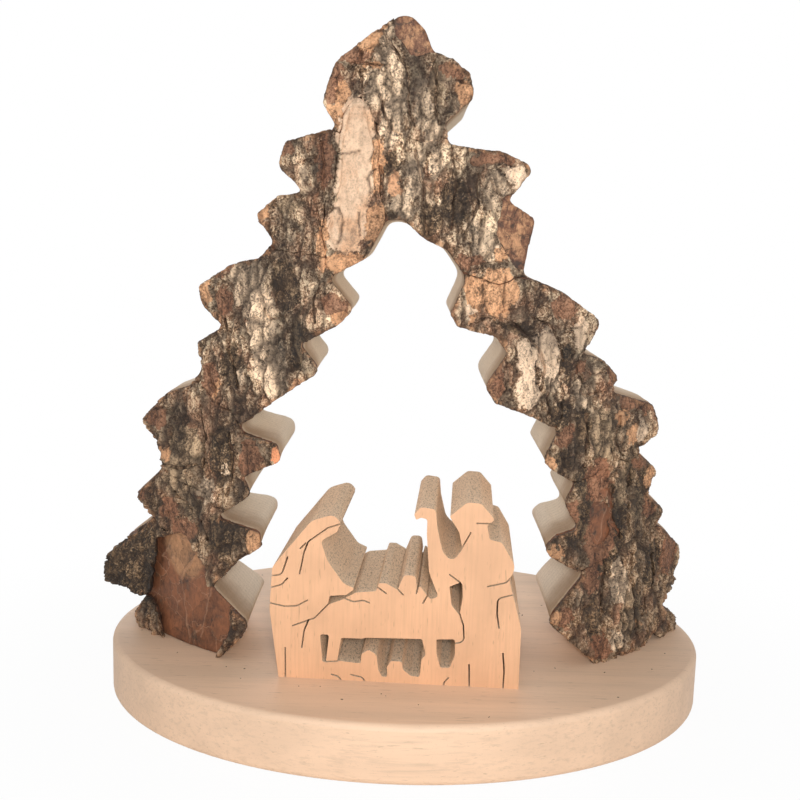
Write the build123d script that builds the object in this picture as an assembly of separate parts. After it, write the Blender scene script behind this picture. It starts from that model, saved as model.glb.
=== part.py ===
"""Wooden nativity stable.

An oval plaque carries a fir-shaped arch that was band-sawn out of a log slab with its bark on,
and a thick figure block, sawn through with windows and saw kerfs, stands under the arch.
Frame: origin at the centre of the plaque's underside, +X right, +Y away from the viewer, +Z up.
Heights in the outlines are measured from the top face of the plaque, in millimetres.
"""
import os
from math import cos, radians, sin, sqrt

from build123d import *

os.makedirs("parts", exist_ok=True)

# Plaque: an oval of planed board with eased edges
plaque_length = 220
plaque_width = 169
plaque_thickness = 20
plaque_edge_round = 2

# Log slab: a round log sawn flat at the back, log axis upright
log_radius = 127
slab_depth = 63.5
slab_back_y = 10
log_axis_x = -3
bark_thickness = 3.5
bast_thickness = 1.5
crack_width = 0.7
furrow_width = 1.6
furrow_depth = 1.8
flake_depth = 1.2
flap_hinge_x = -97
flap_lift = 15
pattern_overhang = 5

# Figure block: a plank offcut that stands a little askew under the arch
block_depth = 48
block_front_x = -2
block_front_y = -52
block_turn = -3
kerf_width = 0.55
kerf_bend = 2

# Countersunk wood screws, driven up through the plaque
screw_diameter = 3.5
screw_length = 35
screw_head_diameter = 7
screw_point_length = 4
screw_head_recess = 0.5
screw_hole_play = 0.15
drive_slot_width = 0.9
drive_slot_length = 4.2
drive_slot_depth = 1.4
left_foot_screws_x = (-73, -88)
right_foot_screws_x = (76, 88)
block_screws_u = (-35.3, 30)

# Arch pattern, stretched to the width of the slab, whose round edge trims the overhang of the widest tip:
# (x, height, corner radius), one row for each corner that the saw turned
OUTER_LEFT = [
    # crown
    (-5, 217.8, 5), (-27, 202, 6), (-31, 190, 5), (-26, 182, 1.5),
    # upper tiers
    (-43, 177.5, 3), (-45, 169.5, 3), (-35.5, 162, 1.5),
    (-45, 160.5, 4), (-52.5, 154.5, 2.5), (-46.5, 146, 2),
    # middle tiers
    (-51, 140.5, 4), (-61, 138, 6), (-74, 130, 2.5), (-72, 123.5, 4), (-63.5, 117.5, 2),
    (-74, 111, 1.2), (-72, 102, 5),
    # lower tiers
    (-77, 95.5, 4), (-87, 91.5, 6), (-99, 80, 3), (-91.5, 73.5, 2),
    (-88.5, 64, 4), (-103, 50, 1.5), (-92.5, 44.5, 2),
    (-118, 23, 4), (-117, 12, 3), (-111, 10.5, 1), (-107, 13.5, 0.8), (-101.5, 11.5, 0.8), (-96, 15, 0.6),
    # foot
    (-104, 3, 1.2), (-100, 0, 0),
]
INNER_LEFT = [
    (-66, 0, 0), (-57, 9.5, 4), (-54.5, 14.5, 2), (-69, 25, 2),
    (-58, 37.5, 5), (-50, 43, 2), (-50.5, 48, 2), (-67.5, 50.5, 1.5),
    (-53.5, 61, 2.5), (-57, 66.5, 1.5),
    (-43, 73.5, 2.5), (-44.5, 79, 2.5), (-60, 82.5, 2),
    (-44, 95, 6), (-30, 105, 2.5), (-37, 113, 1.5),
    (-24, 120.5, 2.5), (-19.5, 125.5, 2), (-28, 135, 2),
    (-16, 141.5, 3), (-9.5, 154, 2.5), (-4, 154, 2.5),
]
INNER_RIGHT = [
    (3, 148, 5), (10, 145, 3), (16.5, 136, 4), (11.5, 124.5, 2), (14.5, 120.5, 2), (27, 117.5, 3),
    (31, 112, 2), (24, 101.5, 2.5), (27, 96, 2.5), (40, 91, 6), (50, 86, 2),
    (45, 75.5, 2), (49, 72, 2.5), (57, 67, 2),
    (53.5, 60.5, 2.5), (59.5, 50.5, 2),
    (51, 49, 2.5), (46.5, 45, 2), (50, 41.5, 2.5), (62.5, 34, 2),
    (53, 23.5, 2.5), (49.5, 19, 2.5), (68.5, 0, 0),
]
OUTER_RIGHT = [
    # foot with the thin nub of the slab's edge beside it
    (91.5, 0, 0), (94, 4.5, 1), (97.5, 0, 0), (106, 0, 0), (106, 4.5, 1.5), (97, 12.5, 2),
    # lower tiers
    (104, 20, 5), (106, 32, 5), (99, 40, 3), (92, 46, 1.5),
    (95, 51, 2), (87, 58, 1.5), (90, 67.5, 4), (80.5, 75.5, 1.5),
    (91, 82.5, 3), (87, 91.5, 4), (68, 98, 2),
    # middle tiers
    (71.5, 102.5, 2), (65, 109, 3), (57, 111.5, 1.5),
    (63.5, 122, 2.5), (49, 132, 6), (35, 137.5, 2),
    # upper tiers and crown
    (36.5, 146, 8), (38.5, 155.5, 2.5), (29, 161, 1.5),
    (37, 171.5, 2.5), (27, 176, 5), (9.5, 177.5, 2),
    (8, 184, 2.5), (17, 192.5, 3), (15, 200, 3), (3.5, 206, 3), (1, 212, 4),
]
ARCH_OUTLINE = OUTER_LEFT + INNER_LEFT + INNER_RIGHT + OUTER_RIGHT

# Cracks that part the outer bark into plates, on the same pattern: (x, height) along each crack
BARK_CRACKS = [
    # round the tongue
    [
        (-24, 133), (-28.5, 139), (-30, 148), (-29.5, 157), (-26.5, 165), (-25.5, 176), (-23.5, 187),
        (-19.5, 191.5), (-15.5, 188), (-13, 180), (-12.2, 170), (-11.5, 161), (-8.5, 150),
    ],
    # across the shoulders
    [(-32, 183.5), (-23.5, 179.5)],
    [(-14, 183.5), (-6, 180), (0, 177.5), (7, 179.5), (14, 179)],
    # down the left side
    [(-51, 147.5), (-45, 143), (-38, 143.5), (-28, 141.5)],
    [(-79, 99), (-72, 96.5), (-67, 91), (-61, 89), (-56, 81)],
    [(-93, 66), (-86, 64.5), (-81, 61), (-74, 60.5), (-67, 55), (-61, 52.5)],
    [(-98, 46), (-86, 41), (-88, 36)],
    # down the right side
    [(40, 136), (33, 136.8), (27, 134), (20, 136.5), (12, 139)],
    [(61, 115), (56, 110.5), (54.5, 103), (51, 98), (50.5, 91), (47.5, 84)],
    [(85, 77), (78, 73), (71, 73.5), (63, 69), (53, 67.5)],
    [(97, 47), (89, 43.5), (80, 44), (71, 38.5), (65, 38), (58, 33)],
]
# Bare patches where the outer bark has fallen off the bast: (x, height, corner radius)
BARE_PATCHES = [
    [
        (-89, -2, 0), (-91, 8, 2), (-94, 12.5, 1), (-98, 13, 0), (-98, 14.2, 0), (-94.5, 17, 1),
        (-92, 38, 4), (-80, 43, 4), (-71, 35, 3), (-69.5, 26, 0), (-62, 21.5, 0), (-60.5, 15, 2),
        (-62, 8, 2), (-68, -2, 0),
    ],
    [(27, 163, 2), (43, 162, 0), (43, 140, 0), (32, 139, 3), (25, 150, 3)],
    [(62, 59, 3), (70, 61, 3), (71, 46, 3), (64, 43, 3)],
    [(-9, 220, 0), (5, 220, 0), (7, 206, 2), (-3, 203, 3), (-9, 211, 3)],
]
# Areas where the bark's outer scales have flaked off: (x, height, corner radius)
FLAKED_AREAS = [
    # crown and tongue
    [(-33, 201, 0), (-22, 199, 2), (-21, 190, 2), (-26, 180, 0), (-34, 184, 0)],
    [
        (-21.5, 189, 2), (-17, 188, 2), (-14, 176, 3), (-13, 163, 3), (-11, 152, 2), (-17, 141.5, 2),
        (-26, 142, 2), (-28.5, 150, 3), (-25, 165, 3), (-24, 178, 3),
    ],
    [(9, 196.5, 1.5), (19, 199, 0), (19, 189, 0), (10.5, 188, 2)],
    # right shoulder and upper arm
    [(14, 179, 0), (32, 178, 0), (34, 172, 1), (27, 170, 2), (16, 171, 2)],
    [(17.5, 142, 2), (38, 142, 0), (36, 128, 3), (27, 124.5, 2), (18.5, 124.5, 2), (16, 131, 3)],
    [(46, 134, 0), (58, 128, 0), (55.5, 120.5, 2), (50, 119.5, 2), (46.5, 125, 2)],
    # left upper arm: the dark hollow beside the pale band
    [
        (-49, 139, 2), (-40.5, 140, 2), (-36, 128, 3), (-36, 104, 2), (-40.5, 103, 1.5), (-41.5, 117, 3),
        (-48, 127, 2),
    ],
    # lower tiers
    [(-61, 79, 2), (-42, 78, 0), (-42, 69, 0), (-58.5, 65.5, 2)],
    [(-88, 50, 2), (-74.5, 49.5, 2), (-72, 41, 1), (-85, 38, 1)],
    [(69.5, 99, 0), (92, 95, 0), (92, 84, 0), (80, 88, 2), (70, 91.5, 2)],
    [(60.5, 71.5, 1.5), (69, 72, 1.5), (70.5, 61, 1.5), (61, 61.5, 1.5)],
    [(60.5, 37, 1.5), (70.5, 38.5, 1.5), (70, 26, 2), (62, 25, 2)],
    [(97, 45, 0), (110, 38, 0), (110, 20, 0), (100.5, 22, 2), (98.5, 33, 2)],
]
# Furrows between the bark's scales: (x, height) along each furrow
FURROWS = [
    # crown
    [(-13, 212), (-8.5, 206), (-4.5, 200), (-3.5, 191), (-2, 181)],
    [(-19, 206), (-18.5, 191)],
    [(-23, 201), (-16, 201.6), (-9.5, 200.5)],
    [(-12.5, 192), (-11, 186), (-8, 181)],
    [(4, 203), (5, 192), (6, 183)],
    # shoulders
    [(-11.5, 171), (-10.8, 161)],
    [(-1.5, 176), (1, 168), (2, 158), (3.5, 149)],
    [(10, 177), (12, 166), (11, 151)],
    [(18.5, 170), (19, 160), (15, 150)],
    [(22.5, 168), (27.5, 159.5)],
    [(-31, 178), (-29.5, 170), (-32, 160), (-30.5, 148)],
    [(-37.5, 171), (-32.5, 173.5)],
    # left arm
    [(-29.5, 134), (-33, 128), (-31.5, 120)],
    [(-50, 124.5), (-46, 121), (-41, 122.5)],
    [(-63, 121), (-61.5, 109), (-57.5, 97)],
    [(-70, 104), (-66, 93)],
    [(-90, 66.5), (-81, 66), (-73, 69)],
    [(-72.5, 90), (-70, 79), (-71.5, 66)],
    [(-61.5, 82), (-59.5, 70), (-62, 59)],
    [(-84, 57), (-75, 52)],
    [(-71.5, 50), (-69.5, 42)],
    # right arm
    [(17.5, 121), (24, 124), (33, 121.5), (41.5, 113), (43.5, 106), (42.5, 99)],
    [(38, 124), (44, 122), (47.5, 117), (50, 109)],
    [(46.5, 104), (45, 97), (46, 91)],
    [(55.5, 105), (58, 97), (64.5, 99)],
    [(72, 90), (71, 81), (74, 74.5)],
    [(59.5, 92), (60.5, 81), (59, 72)],
    # right leg
    [(77.5, 71), (77, 60), (78.5, 47)],
    [(70.5, 66), (71.5, 52), (76, 45)],
    [(80, 39), (80.5, 30), (83, 20), (85, 8)],
    [(70, 35), (69, 21), (72, 8)],
    [(90, 37), (91.5, 25), (88, 12)],
]
# One place on each bark plate, by which the plate is known: (x, height)
BARK_PLATES = {
    "bark_crown": (-6, 198),
    "bark_tongue": (-18, 165),
    "bark_left_shoulder": (-35, 158),
    "bark_left_upper_arm": (-50, 118),
    "bark_left_lower_arm": (-75, 78),
    "bark_left_leg": (-76, 51),
    "bark_left_flap": (-102, 27),
    "bark_left_foot_outer": (-97, 6),
    "bark_left_foot_inner": (-58, 12),
    "bark_right_shoulder": (12, 160),
    "bark_right_upper_arm": (40, 110),
    "bark_right_lower_arm": (66, 86),
    "bark_right_leg": (80, 60),
    "bark_right_foot": (82, 25),
}

# Figure block outline: (distance from the middle, height, corner radius)
KNEELING_FIGURE = [
    (-40.5, 0, 0), (-43.8, 24, 8), (-43, 38.5, 4), (-30, 55, 6), (-22.5, 57.5, 3), (-20.2, 54.5, 1.5),
    (-21.5, 51.5, 1), (-26.8, 48.2, 1.5), (-24.5, 41.5, 8), (-19, 34, 4), (-15, 32.3, 0.6),
]
SLEEVE_POCKET = [
    (-18, 30, 0.8), (-23.6, 29.4, 0.3), (-24.1, 26.3, 0.3), (-19.5, 28.2, 1), (-14.6, 31, 0.8),
]
CRIB_AND_CHILD = [
    (-8, 31.8, 0.5), (-7.2, 34.6, 0.8), (-4.6, 34.6, 0.8), (-0.8, 32.6, 0.6), (1.2, 37.8, 1.6),
    (5, 37.8, 1.6), (5.6, 33.4, 0.4), (6.6, 34.2, 0.5), (8.8, 31.4, 0.8), (10.2, 29.8, 1), (12.8, 31, 1),
]
CROOK = [
    (9.4, 39, 10), (8.3, 52, 10), (8.3, 57.2, 1), (6.2, 57.6, 0.6), (4.6, 56.8, 0.4), (3.9, 58.6, 0.8),
    (6, 61.2, 2), (11, 60.6, 1.5), (11.6, 54.5, 6), (13.6, 46.5, 4), (16.8, 42.8, 2),
]
STANDING_FIGURE = [
    (20.2, 47.5, 2), (18.8, 53.5, 3), (15.6, 58.4, 0.6), (21.2, 63.4, 2.5), (25.8, 63.2, 2),
    (30.4, 58, 0.8), (28, 55.8, 0.8), (29, 51.2, 1), (33, 50.4, 2), (37.8, 42.5, 4), (36.1, 37.5, 1.5),
    (37.4, 32.5, 2), (40.6, 21, 6), (40.6, 0, 0),
]
BLOCK_OUTLINE = KNEELING_FIGURE + SLEEVE_POCKET + CRIB_AND_CHILD + CROOK + STANDING_FIGURE

# Windows sawn through the block, in the same form as the outline
WINDOWS = [
    # between the knees and the crib leg
    [(-26.6, 15.8, 0.8), (-23.5, 15.8, 0.8), (-24.4, 6, 0.3), (-25.6, 6.2, 0.5)],
    # under the crib, over two lying sheep
    [
        (-19.4, 14.9, 0.5), (-12, 15, 1), (-11, 15.4, 0.6), (7.8, 15.9, 0.8), (9.2, 10.4, 1),
        (7.8, 8.6, 0.4), (7.4, 2.5, 0.8), (4.4, 2.7, 0.8), (1.7, 4.8, 0.8), (1.2, 7.6, 0.8),
        (-2.4, 7.6, 1.2), (-3.7, 5.4, 0.5), (-3.5, 1.9, 0.6), (-5.4, 2, 0.6), (-6.6, 4.2, 0.8),
        (-7.4, 9.6, 1.2), (-10, 11.2, 1.2), (-12.4, 9.6, 1), (-12.6, 6.2, 0.6), (-20.6, 6.8, 0.3),
    ],
    # beside the right crib leg
    [(12.6, 16, 0.5), (18.7, 16.4, 0.8), (19, 11, 2), (17.4, 6.3, 1), (14.2, 6.2, 0.6), (12.8, 11, 3)],
    # between the crook hand and the cloak
    [(16.3, 34.6, 0.4), (20.5, 36.4, 0.8), (20.9, 31, 2), (20, 24.8, 0.3), (17.2, 28.2, 1)],
]
# Saw kerfs through the block: (distance from the middle, height) along each kerf
KERFS = [
    # veil and shoulder
    [(-19, 54.8), (-24.5, 52.8), (-31, 47.8), (-32.4, 44), (-33.8, 36.4)],
    [(-31.6, 47.4), (-33.8, 45.2)],
    [(-37.8, 42.4), (-39.8, 36), (-45, 35.2)],
    [(-37.7, 35), (-39.7, 32.6), (-45, 30.8)],
    # sleeve and skirt
    [(-45, 26.2), (-38.5, 25), (-34.5, 25.4), (-30.8, 27.6)],
    [(-23.6, 26.8), (-28.5, 21.4), (-36, 18.3)],
    [(-30.6, 20.4), (-32, 16.8), (-32.7, 10.6)],
    [(-38.3, 10.6), (-38.1, -1)],
    # crib and child
    [(-24.8, 6.2), (-20.2, 6.6)],
    [(-18.6, 28.8), (-15.4, 27.7), (-12.3, 28.4), (-10, 27.6)],
    [(-7.6, 33.2), (-4.4, 31)],
    [(-1.4, 33.4), (1.2, 30.8)],
    [(6, 34.2), (5.4, 31.5)],
    [(9.2, 31.2), (7.6, 28.2)],
    # crook hand, crib end and cloak
    [(16.1, 38.8), (20, 36)],
    [(20, 25.4), (21.4, 21.3), (21.9, 15.6), (18.6, 14.9)],
    [(22.8, 53.4), (19.2, 46.4)],
    [(24.4, 56.5), (29.4, 56.6)],
    [(38, 40.4), (35, 36.8), (28.8, 35.1)],
    [(38.4, 33), (32.4, 31.2), (32.4, 26), (33.3, 20.8)],
    [(23.8, 7.9), (24.2, -1)],
    [(34.9, 12.4), (35.6, 6), (35.4, -1)],
    # turf along the foot
    [(-22.6, 1.9), (-20, 1.2), (-18.6, -1)],
    [(-16, 2.1), (-12, 1.3), (-10.4, -1)],
    [(17.2, 2.9), (15.6, 1), (15.6, -1)],
]

log_axis_y = slab_back_y - slab_depth + log_radius
slab_half_width = sqrt(log_radius**2 - (log_radius - slab_depth) ** 2)
pattern_half_width = max(abs(x - log_axis_x) for x, _, _ in ARCH_OUTLINE) - pattern_overhang
wood_radius = log_radius - bark_thickness - bast_thickness
bast_radius = log_radius - bark_thickness
cutter_length = 2 * (slab_depth + block_depth)


def on_slab(x):
    """Place across the slab of a place on the arch pattern."""
    return log_axis_x + (x - log_axis_x) * slab_half_width / pattern_half_width


def pattern_rows(rows):
    """Rows of the arch pattern, whose first value is a place across it, carried to the slab."""
    return [(on_slab(x), *rest) for x, *rest in rows]


def closed_face(rows):
    """Face inside a closed outline of (x, height, corner radius) rows, standing in the XZ plane."""
    corners = [(x, height + plaque_thickness) for x, height, _ in rows]
    radii = [radius for _, _, radius in rows]
    return Plane.XZ * make_face(FilletPolyline(*corners, radius=radii, close=True))


def slit_face(points, width, bend):
    """Narrow face along a path of (x, height) points, standing in the XZ plane."""
    places = [(x, height + plaque_thickness) for x, height in points]
    path = FilletPolyline(*places, radius=bend) if len(places) > 2 else Line(*places)
    return Plane.XZ * trace(path, line_width=width)


def through_cut(face):
    """The face drawn out along Y, further than the wood reaches either way."""
    return extrude(face, amount=cutter_length, dir=(0, 1, 0), both=True)


def log_body(radius):
    """Round log of that radius, taller than the arch."""
    tallest = max(height for _, height, _ in ARCH_OUTLINE)
    axis = Pos(log_axis_x, log_axis_y, plaque_thickness)
    return axis * Cylinder(radius, 2 * tallest)


def skin_cut(face, depth):
    """What a face cut into the log takes off it, down to that depth."""
    return through_cut(face) - log_body(log_radius - depth)


def log_front_y(x, radius):
    """Y of the front of a log of that radius, at a place across it."""
    return log_axis_y - sqrt(radius**2 - (x - log_axis_x) ** 2)


def bent_flap(plate):
    """A bark plate whose free left end is bent off the log about an upright line on the bast."""
    x = on_slab(flap_hinge_x)
    hinge = Location((x, log_front_y(x, bast_radius), 0))
    free_side = Pos(x, 0, 0) * Box(
        cutter_length, 2 * cutter_length, 2 * cutter_length, align=(Align.MAX, Align.CENTER, Align.CENTER)
    )
    free_end = hinge * Rot(0, 0, flap_lift) * hinge.inverse() * (plate & free_side)
    return (plate - free_side) + free_end


def in_block_frame(shape):
    """A shape drawn square to the block's own front, turned and moved to its place."""
    return Pos(block_front_x, block_front_y, 0) * Rot(0, 0, block_turn) * shape


def foot_screw_place(x):
    """Screw place under an arch foot: midway through the wood at that x."""
    return Pos(x, (log_front_y(x, wood_radius) + slab_back_y) / 2, screw_head_recess)


def block_screw_place(u):
    """Screw place under the figure block, midway through its depth."""
    turn = radians(block_turn)
    half = block_depth / 2
    x = block_front_x + u * cos(turn) - half * sin(turn)
    y = block_front_y + u * sin(turn) + half * cos(turn)
    return Pos(x, y, screw_head_recess)


def screw_blank(play):
    """Head cone, shank and point of a screw, standing on its head at the origin."""
    head_radius = screw_head_diameter / 2
    shank_radius = screw_diameter / 2
    point_start = screw_length - screw_point_length
    profile = Polyline(
        (0, 0),
        (head_radius + play, 0),
        (shank_radius + play, head_radius - shank_radius),
        (shank_radius + play, point_start),
        (0, screw_length + play),
        close=True,
    )
    return revolve(Plane.XZ * make_face(profile), Axis.Z)


def screw():
    """Countersunk wood screw with a cross slot in its head."""
    slot = Box(drive_slot_length, drive_slot_width, 2 * drive_slot_depth)
    return screw_blank(0) - slot - Rot(0, 0, 90) * slot


def screw_cut(play):
    """Room for one screw, with a straight sinking for its head below it."""
    sinking = Cylinder(
        screw_head_diameter / 2 + play, screw_head_recess, align=(Align.CENTER, Align.CENTER, Align.MAX)
    )
    return screw_blank(play) + sinking


def save(shape, node):
    """Write one sub-part under its node name."""
    shape.label = node
    export_step(shape, f"parts/{node}.step")


foot_places = [foot_screw_place(on_slab(x)) for x in left_foot_screws_x + right_foot_screws_x]
block_places = [block_screw_place(u) for u in block_screws_u]

# Plaque with clearance holes for the screws
oval = extrude(Ellipse(plaque_length / 2, plaque_width / 2), amount=plaque_thickness)
plaque = fillet(oval.edges(), plaque_edge_round)
for place in foot_places + block_places:
    plaque -= place * screw_cut(screw_hole_play)
save(plaque, "base_plaque")

# Arch: sapwood, then the thin bast, then the outer bark parted into plates
arch_face = Pos(0, slab_back_y, 0) * closed_face(pattern_rows(ARCH_OUTLINE))
arch_blank = extrude(arch_face, amount=slab_depth + bark_thickness, dir=(0, -1, 0))
arch_slab = arch_blank & log_body(wood_radius)
for place in foot_places:
    arch_slab -= place * screw_cut(0)
save(arch_slab, "arch_slab")

bast = (arch_blank & log_body(bast_radius)) - log_body(wood_radius)
save(bast, "inner_bark")

outer_bark = (arch_blank & log_body(log_radius)) - log_body(bast_radius)
for patch in BARE_PATCHES:
    outer_bark -= through_cut(closed_face(pattern_rows(patch)))
for crack in BARK_CRACKS:
    outer_bark -= through_cut(slit_face(pattern_rows(crack), crack_width, crack_width))
outer_bark -= [skin_cut(closed_face(pattern_rows(area)), flake_depth) for area in FLAKED_AREAS]
outer_bark -= [
    skin_cut(slit_face(pattern_rows(furrow), furrow_width, furrow_width), furrow_depth) for furrow in FURROWS
]
low_bark_radius = bast_radius + bark_thickness / 4
for node, (pattern_x, height) in BARK_PLATES.items():
    x = on_slab(pattern_x)
    place = Vector(x, log_front_y(x, low_bark_radius), plaque_thickness + height)
    plate = [solid for solid in outer_bark.solids() if solid.is_inside(place)][0]
    save(bent_flap(plate) if node == "bark_left_flap" else plate, node)

# Figure block with its windows and kerfs
block = extrude(closed_face(BLOCK_OUTLINE), amount=block_depth, dir=(0, 1, 0))
for window in WINDOWS:
    block -= through_cut(closed_face(window))
for kerf in KERFS:
    block -= through_cut(slit_face(kerf, kerf_width, kerf_bend))
block = in_block_frame(block)
for place in block_places:
    block -= place * screw_cut(0)
save(block, "figure_block")

save(Compound([place * screw() for place in foot_places]), "arch_screws")
save(Compound([place * screw() for place in block_places]), "block_screws")
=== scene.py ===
"""Looks of a wooden nativity stable: a bark-faced arch and a sawn figure block on an oval plaque.

Laid out as an add-on and run as a script. Everything is in metres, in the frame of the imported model:
+X right, +Y away from the viewer, +Z up, origin at the centre of the plaque's underside.
"""

import math
from functools import partial

import bmesh
import bpy
from bpy.props import FloatProperty, FloatVectorProperty, IntProperty, PointerProperty
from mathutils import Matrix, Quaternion, Vector


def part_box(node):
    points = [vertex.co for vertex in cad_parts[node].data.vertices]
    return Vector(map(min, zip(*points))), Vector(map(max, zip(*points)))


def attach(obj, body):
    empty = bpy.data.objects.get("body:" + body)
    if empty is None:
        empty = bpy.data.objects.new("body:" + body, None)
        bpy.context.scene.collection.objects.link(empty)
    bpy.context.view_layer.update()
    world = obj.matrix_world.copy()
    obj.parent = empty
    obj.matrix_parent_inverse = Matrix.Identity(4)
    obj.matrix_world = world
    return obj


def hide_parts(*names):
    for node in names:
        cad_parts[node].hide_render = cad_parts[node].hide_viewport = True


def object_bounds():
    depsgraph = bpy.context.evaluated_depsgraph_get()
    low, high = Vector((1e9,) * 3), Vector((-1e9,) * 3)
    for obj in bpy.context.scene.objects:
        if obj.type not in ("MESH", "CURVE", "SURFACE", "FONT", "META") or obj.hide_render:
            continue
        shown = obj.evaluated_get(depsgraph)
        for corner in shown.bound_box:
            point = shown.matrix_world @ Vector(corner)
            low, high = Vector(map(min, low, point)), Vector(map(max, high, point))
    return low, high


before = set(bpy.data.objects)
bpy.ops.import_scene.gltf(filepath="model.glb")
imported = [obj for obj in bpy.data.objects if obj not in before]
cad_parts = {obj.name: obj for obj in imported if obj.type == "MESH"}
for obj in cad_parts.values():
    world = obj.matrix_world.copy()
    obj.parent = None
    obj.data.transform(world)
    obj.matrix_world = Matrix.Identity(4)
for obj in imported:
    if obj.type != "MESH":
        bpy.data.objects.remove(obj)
CAD_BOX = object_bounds()

bl_info = {
    "name": "Nativity Stable",
    "version": (1, 0, 0),
    "blender": (4, 5, 0),
    "location": "View3D > Sidebar > Nativity",
    "description": "Dresses the nativity stable with bark, sapwood, planed and sawn wood",
    "category": "Object",
}

MM = 0.001
BODY = "root"
WHITE = (1, 1, 1, 1)
MID_GREY = (0.5, 0.5, 0.5)
MERGE_DISTANCE = 0.002 * MM

# Directions, and what is left of a place that is seen from the front or from above
ALONG_X, ALONG_Y, ALONG_Z = (1, 0, 0), (0, 1, 0), (0, 0, 1)
FROM_FRONT, FROM_ABOVE = (1, 0, 1), (1, 1, 0)

# The log that the arch was sawn from: upright, with its bark face to the front
LOG_RADIUS = 127 * MM
LOG_AXIS_X = -3 * MM
BARK_THICKNESS = 3.5 * MM
BAST_THICKNESS = 1.5 * MM
UNDER_BARK = LOG_RADIUS - BARK_THICKNESS - BAST_THICKNESS
BARK_NODES = sorted(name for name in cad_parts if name.startswith("bark_"))
LOG_AXIS_Y = min(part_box(name)[0].y for name in BARK_NODES) + LOG_RADIUS
PLAQUE_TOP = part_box("base_plaque")[1].z
GROWTH_RING = 2.6 * MM

# The loose flap of bark at the left foot is worn to a round tip. Its wear from above and from below is given
# as a height over the tip and how far the bark there moves
FLAP = "bark_left_flap"
FLAP_TIP_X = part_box(FLAP)[0].x
FLAP_WORN_FROM_X = FLAP_TIP_X + 18 * MM
FLAP_TIP_Z = PLAQUE_TOP + 18.6 * MM
FLAP_WEAR_ABOVE = (9 * MM, -4.7 * MM)
FLAP_WEAR_BELOW = (-8 * MM, 3.4 * MM)

# Direction that the sanded front of the figure block faces: the block stands 3 degrees askew
BLOCK_TURN = math.radians(-3)
BLOCK_FRONT = Vector((math.sin(BLOCK_TURN), -math.cos(BLOCK_TURN), 0))

# Relief of the bark: the settings that its tree takes, then the sizes and heights of its patterns
BARK_SIZES = (
    "Rib Width", "Furrow Depth", "Rib Step", "Flake Width", "Flake Step", "Crumble", "Wander", "Crack Close",
    "Crack Width",
)
BARK_SHAKE = 7 * MM
GRIT_SIZE = 2.2 * MM
GRIT_REACH = (6 * MM, 0, 8 * MM)
FIBRE_SIZE = 2.6 * MM
RIB_SQUEEZE, FLAKE_SQUEEZE, FIBRE_SQUEEZE = (1, 1, 0.36), (1, 1, 0.6), (1, 1, 0.45)
RIB_SINK = 0.35 * MM
FIBRE_HEIGHT, FIBRE_SINK = 2.8 * MM, 1.45 * MM
CREAM_LIFT = 0.4 * MM
RUST_DROP = 0.4 * MM
CRACK_DEPTH = 1.4 * MM
RIM_DROP = 0.8 * MM
RELIEF_LOWEST, RELIEF_HIGHEST = -2.9 * MM, 1.3 * MM

# Relief of the bast: the settings that its tree takes, its grid as a multiple of the bark's, and sizes
BAST_SIZES = ("Swell", "Vein Width", "Vein Height", "Bast Rise")
BAST_GRID = 1.7
FACET_SIZE = 9 * MM
SWELL_SINK = 1.0 * MM

# Sawn arch: how much of the softening the back keeps
BACK_SOFTNESS = 0.25

# Crumbs: the share of the plaque that they lie on, clear height above them, and their turns and scales
CRUMB_SEED = 7
CRUMB_FIELD, CRUMB_FIELD_CORNERS = 0.95, 64
CRUMB_HEADROOM = 0.3
CRUMB_TURNS = ((0, 0, 0), (0.4, 0.4, 6.28))
CRUMB_SCALES = ((0.35, 0.3, 0.2), (1.5, 0.9, 0.6))

# Stage: lamps as (name, setting of its power, place, side), floor, its shadow's fading, and camera
LAMPS = (
    ("key", "key_power", (0.012, -0.43, 0.19), 0.06),
    ("fill_left", "fill_power", (-0.9, -0.35, 0.55), 0.7),
    ("fill_right", "fill_power", (0.95, -0.3, 0.6), 0.7),
    ("back", "back_power", (-0.2, 1.0, 0.32), 0.8),
)
FLOOR_REACH, FLOOR_DROP = 6.0, 0.2 * MM
SHADOW_FULL, SHADOW_END, SHADOW_WHITE = 0.1, 0.24, 0.95
CAMERA_PLACE = (-1.27 * MM, -398.2 * MM, 170.6 * MM)
SENSOR_WIDTH = 36
CLIP_START = 0.01

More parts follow.
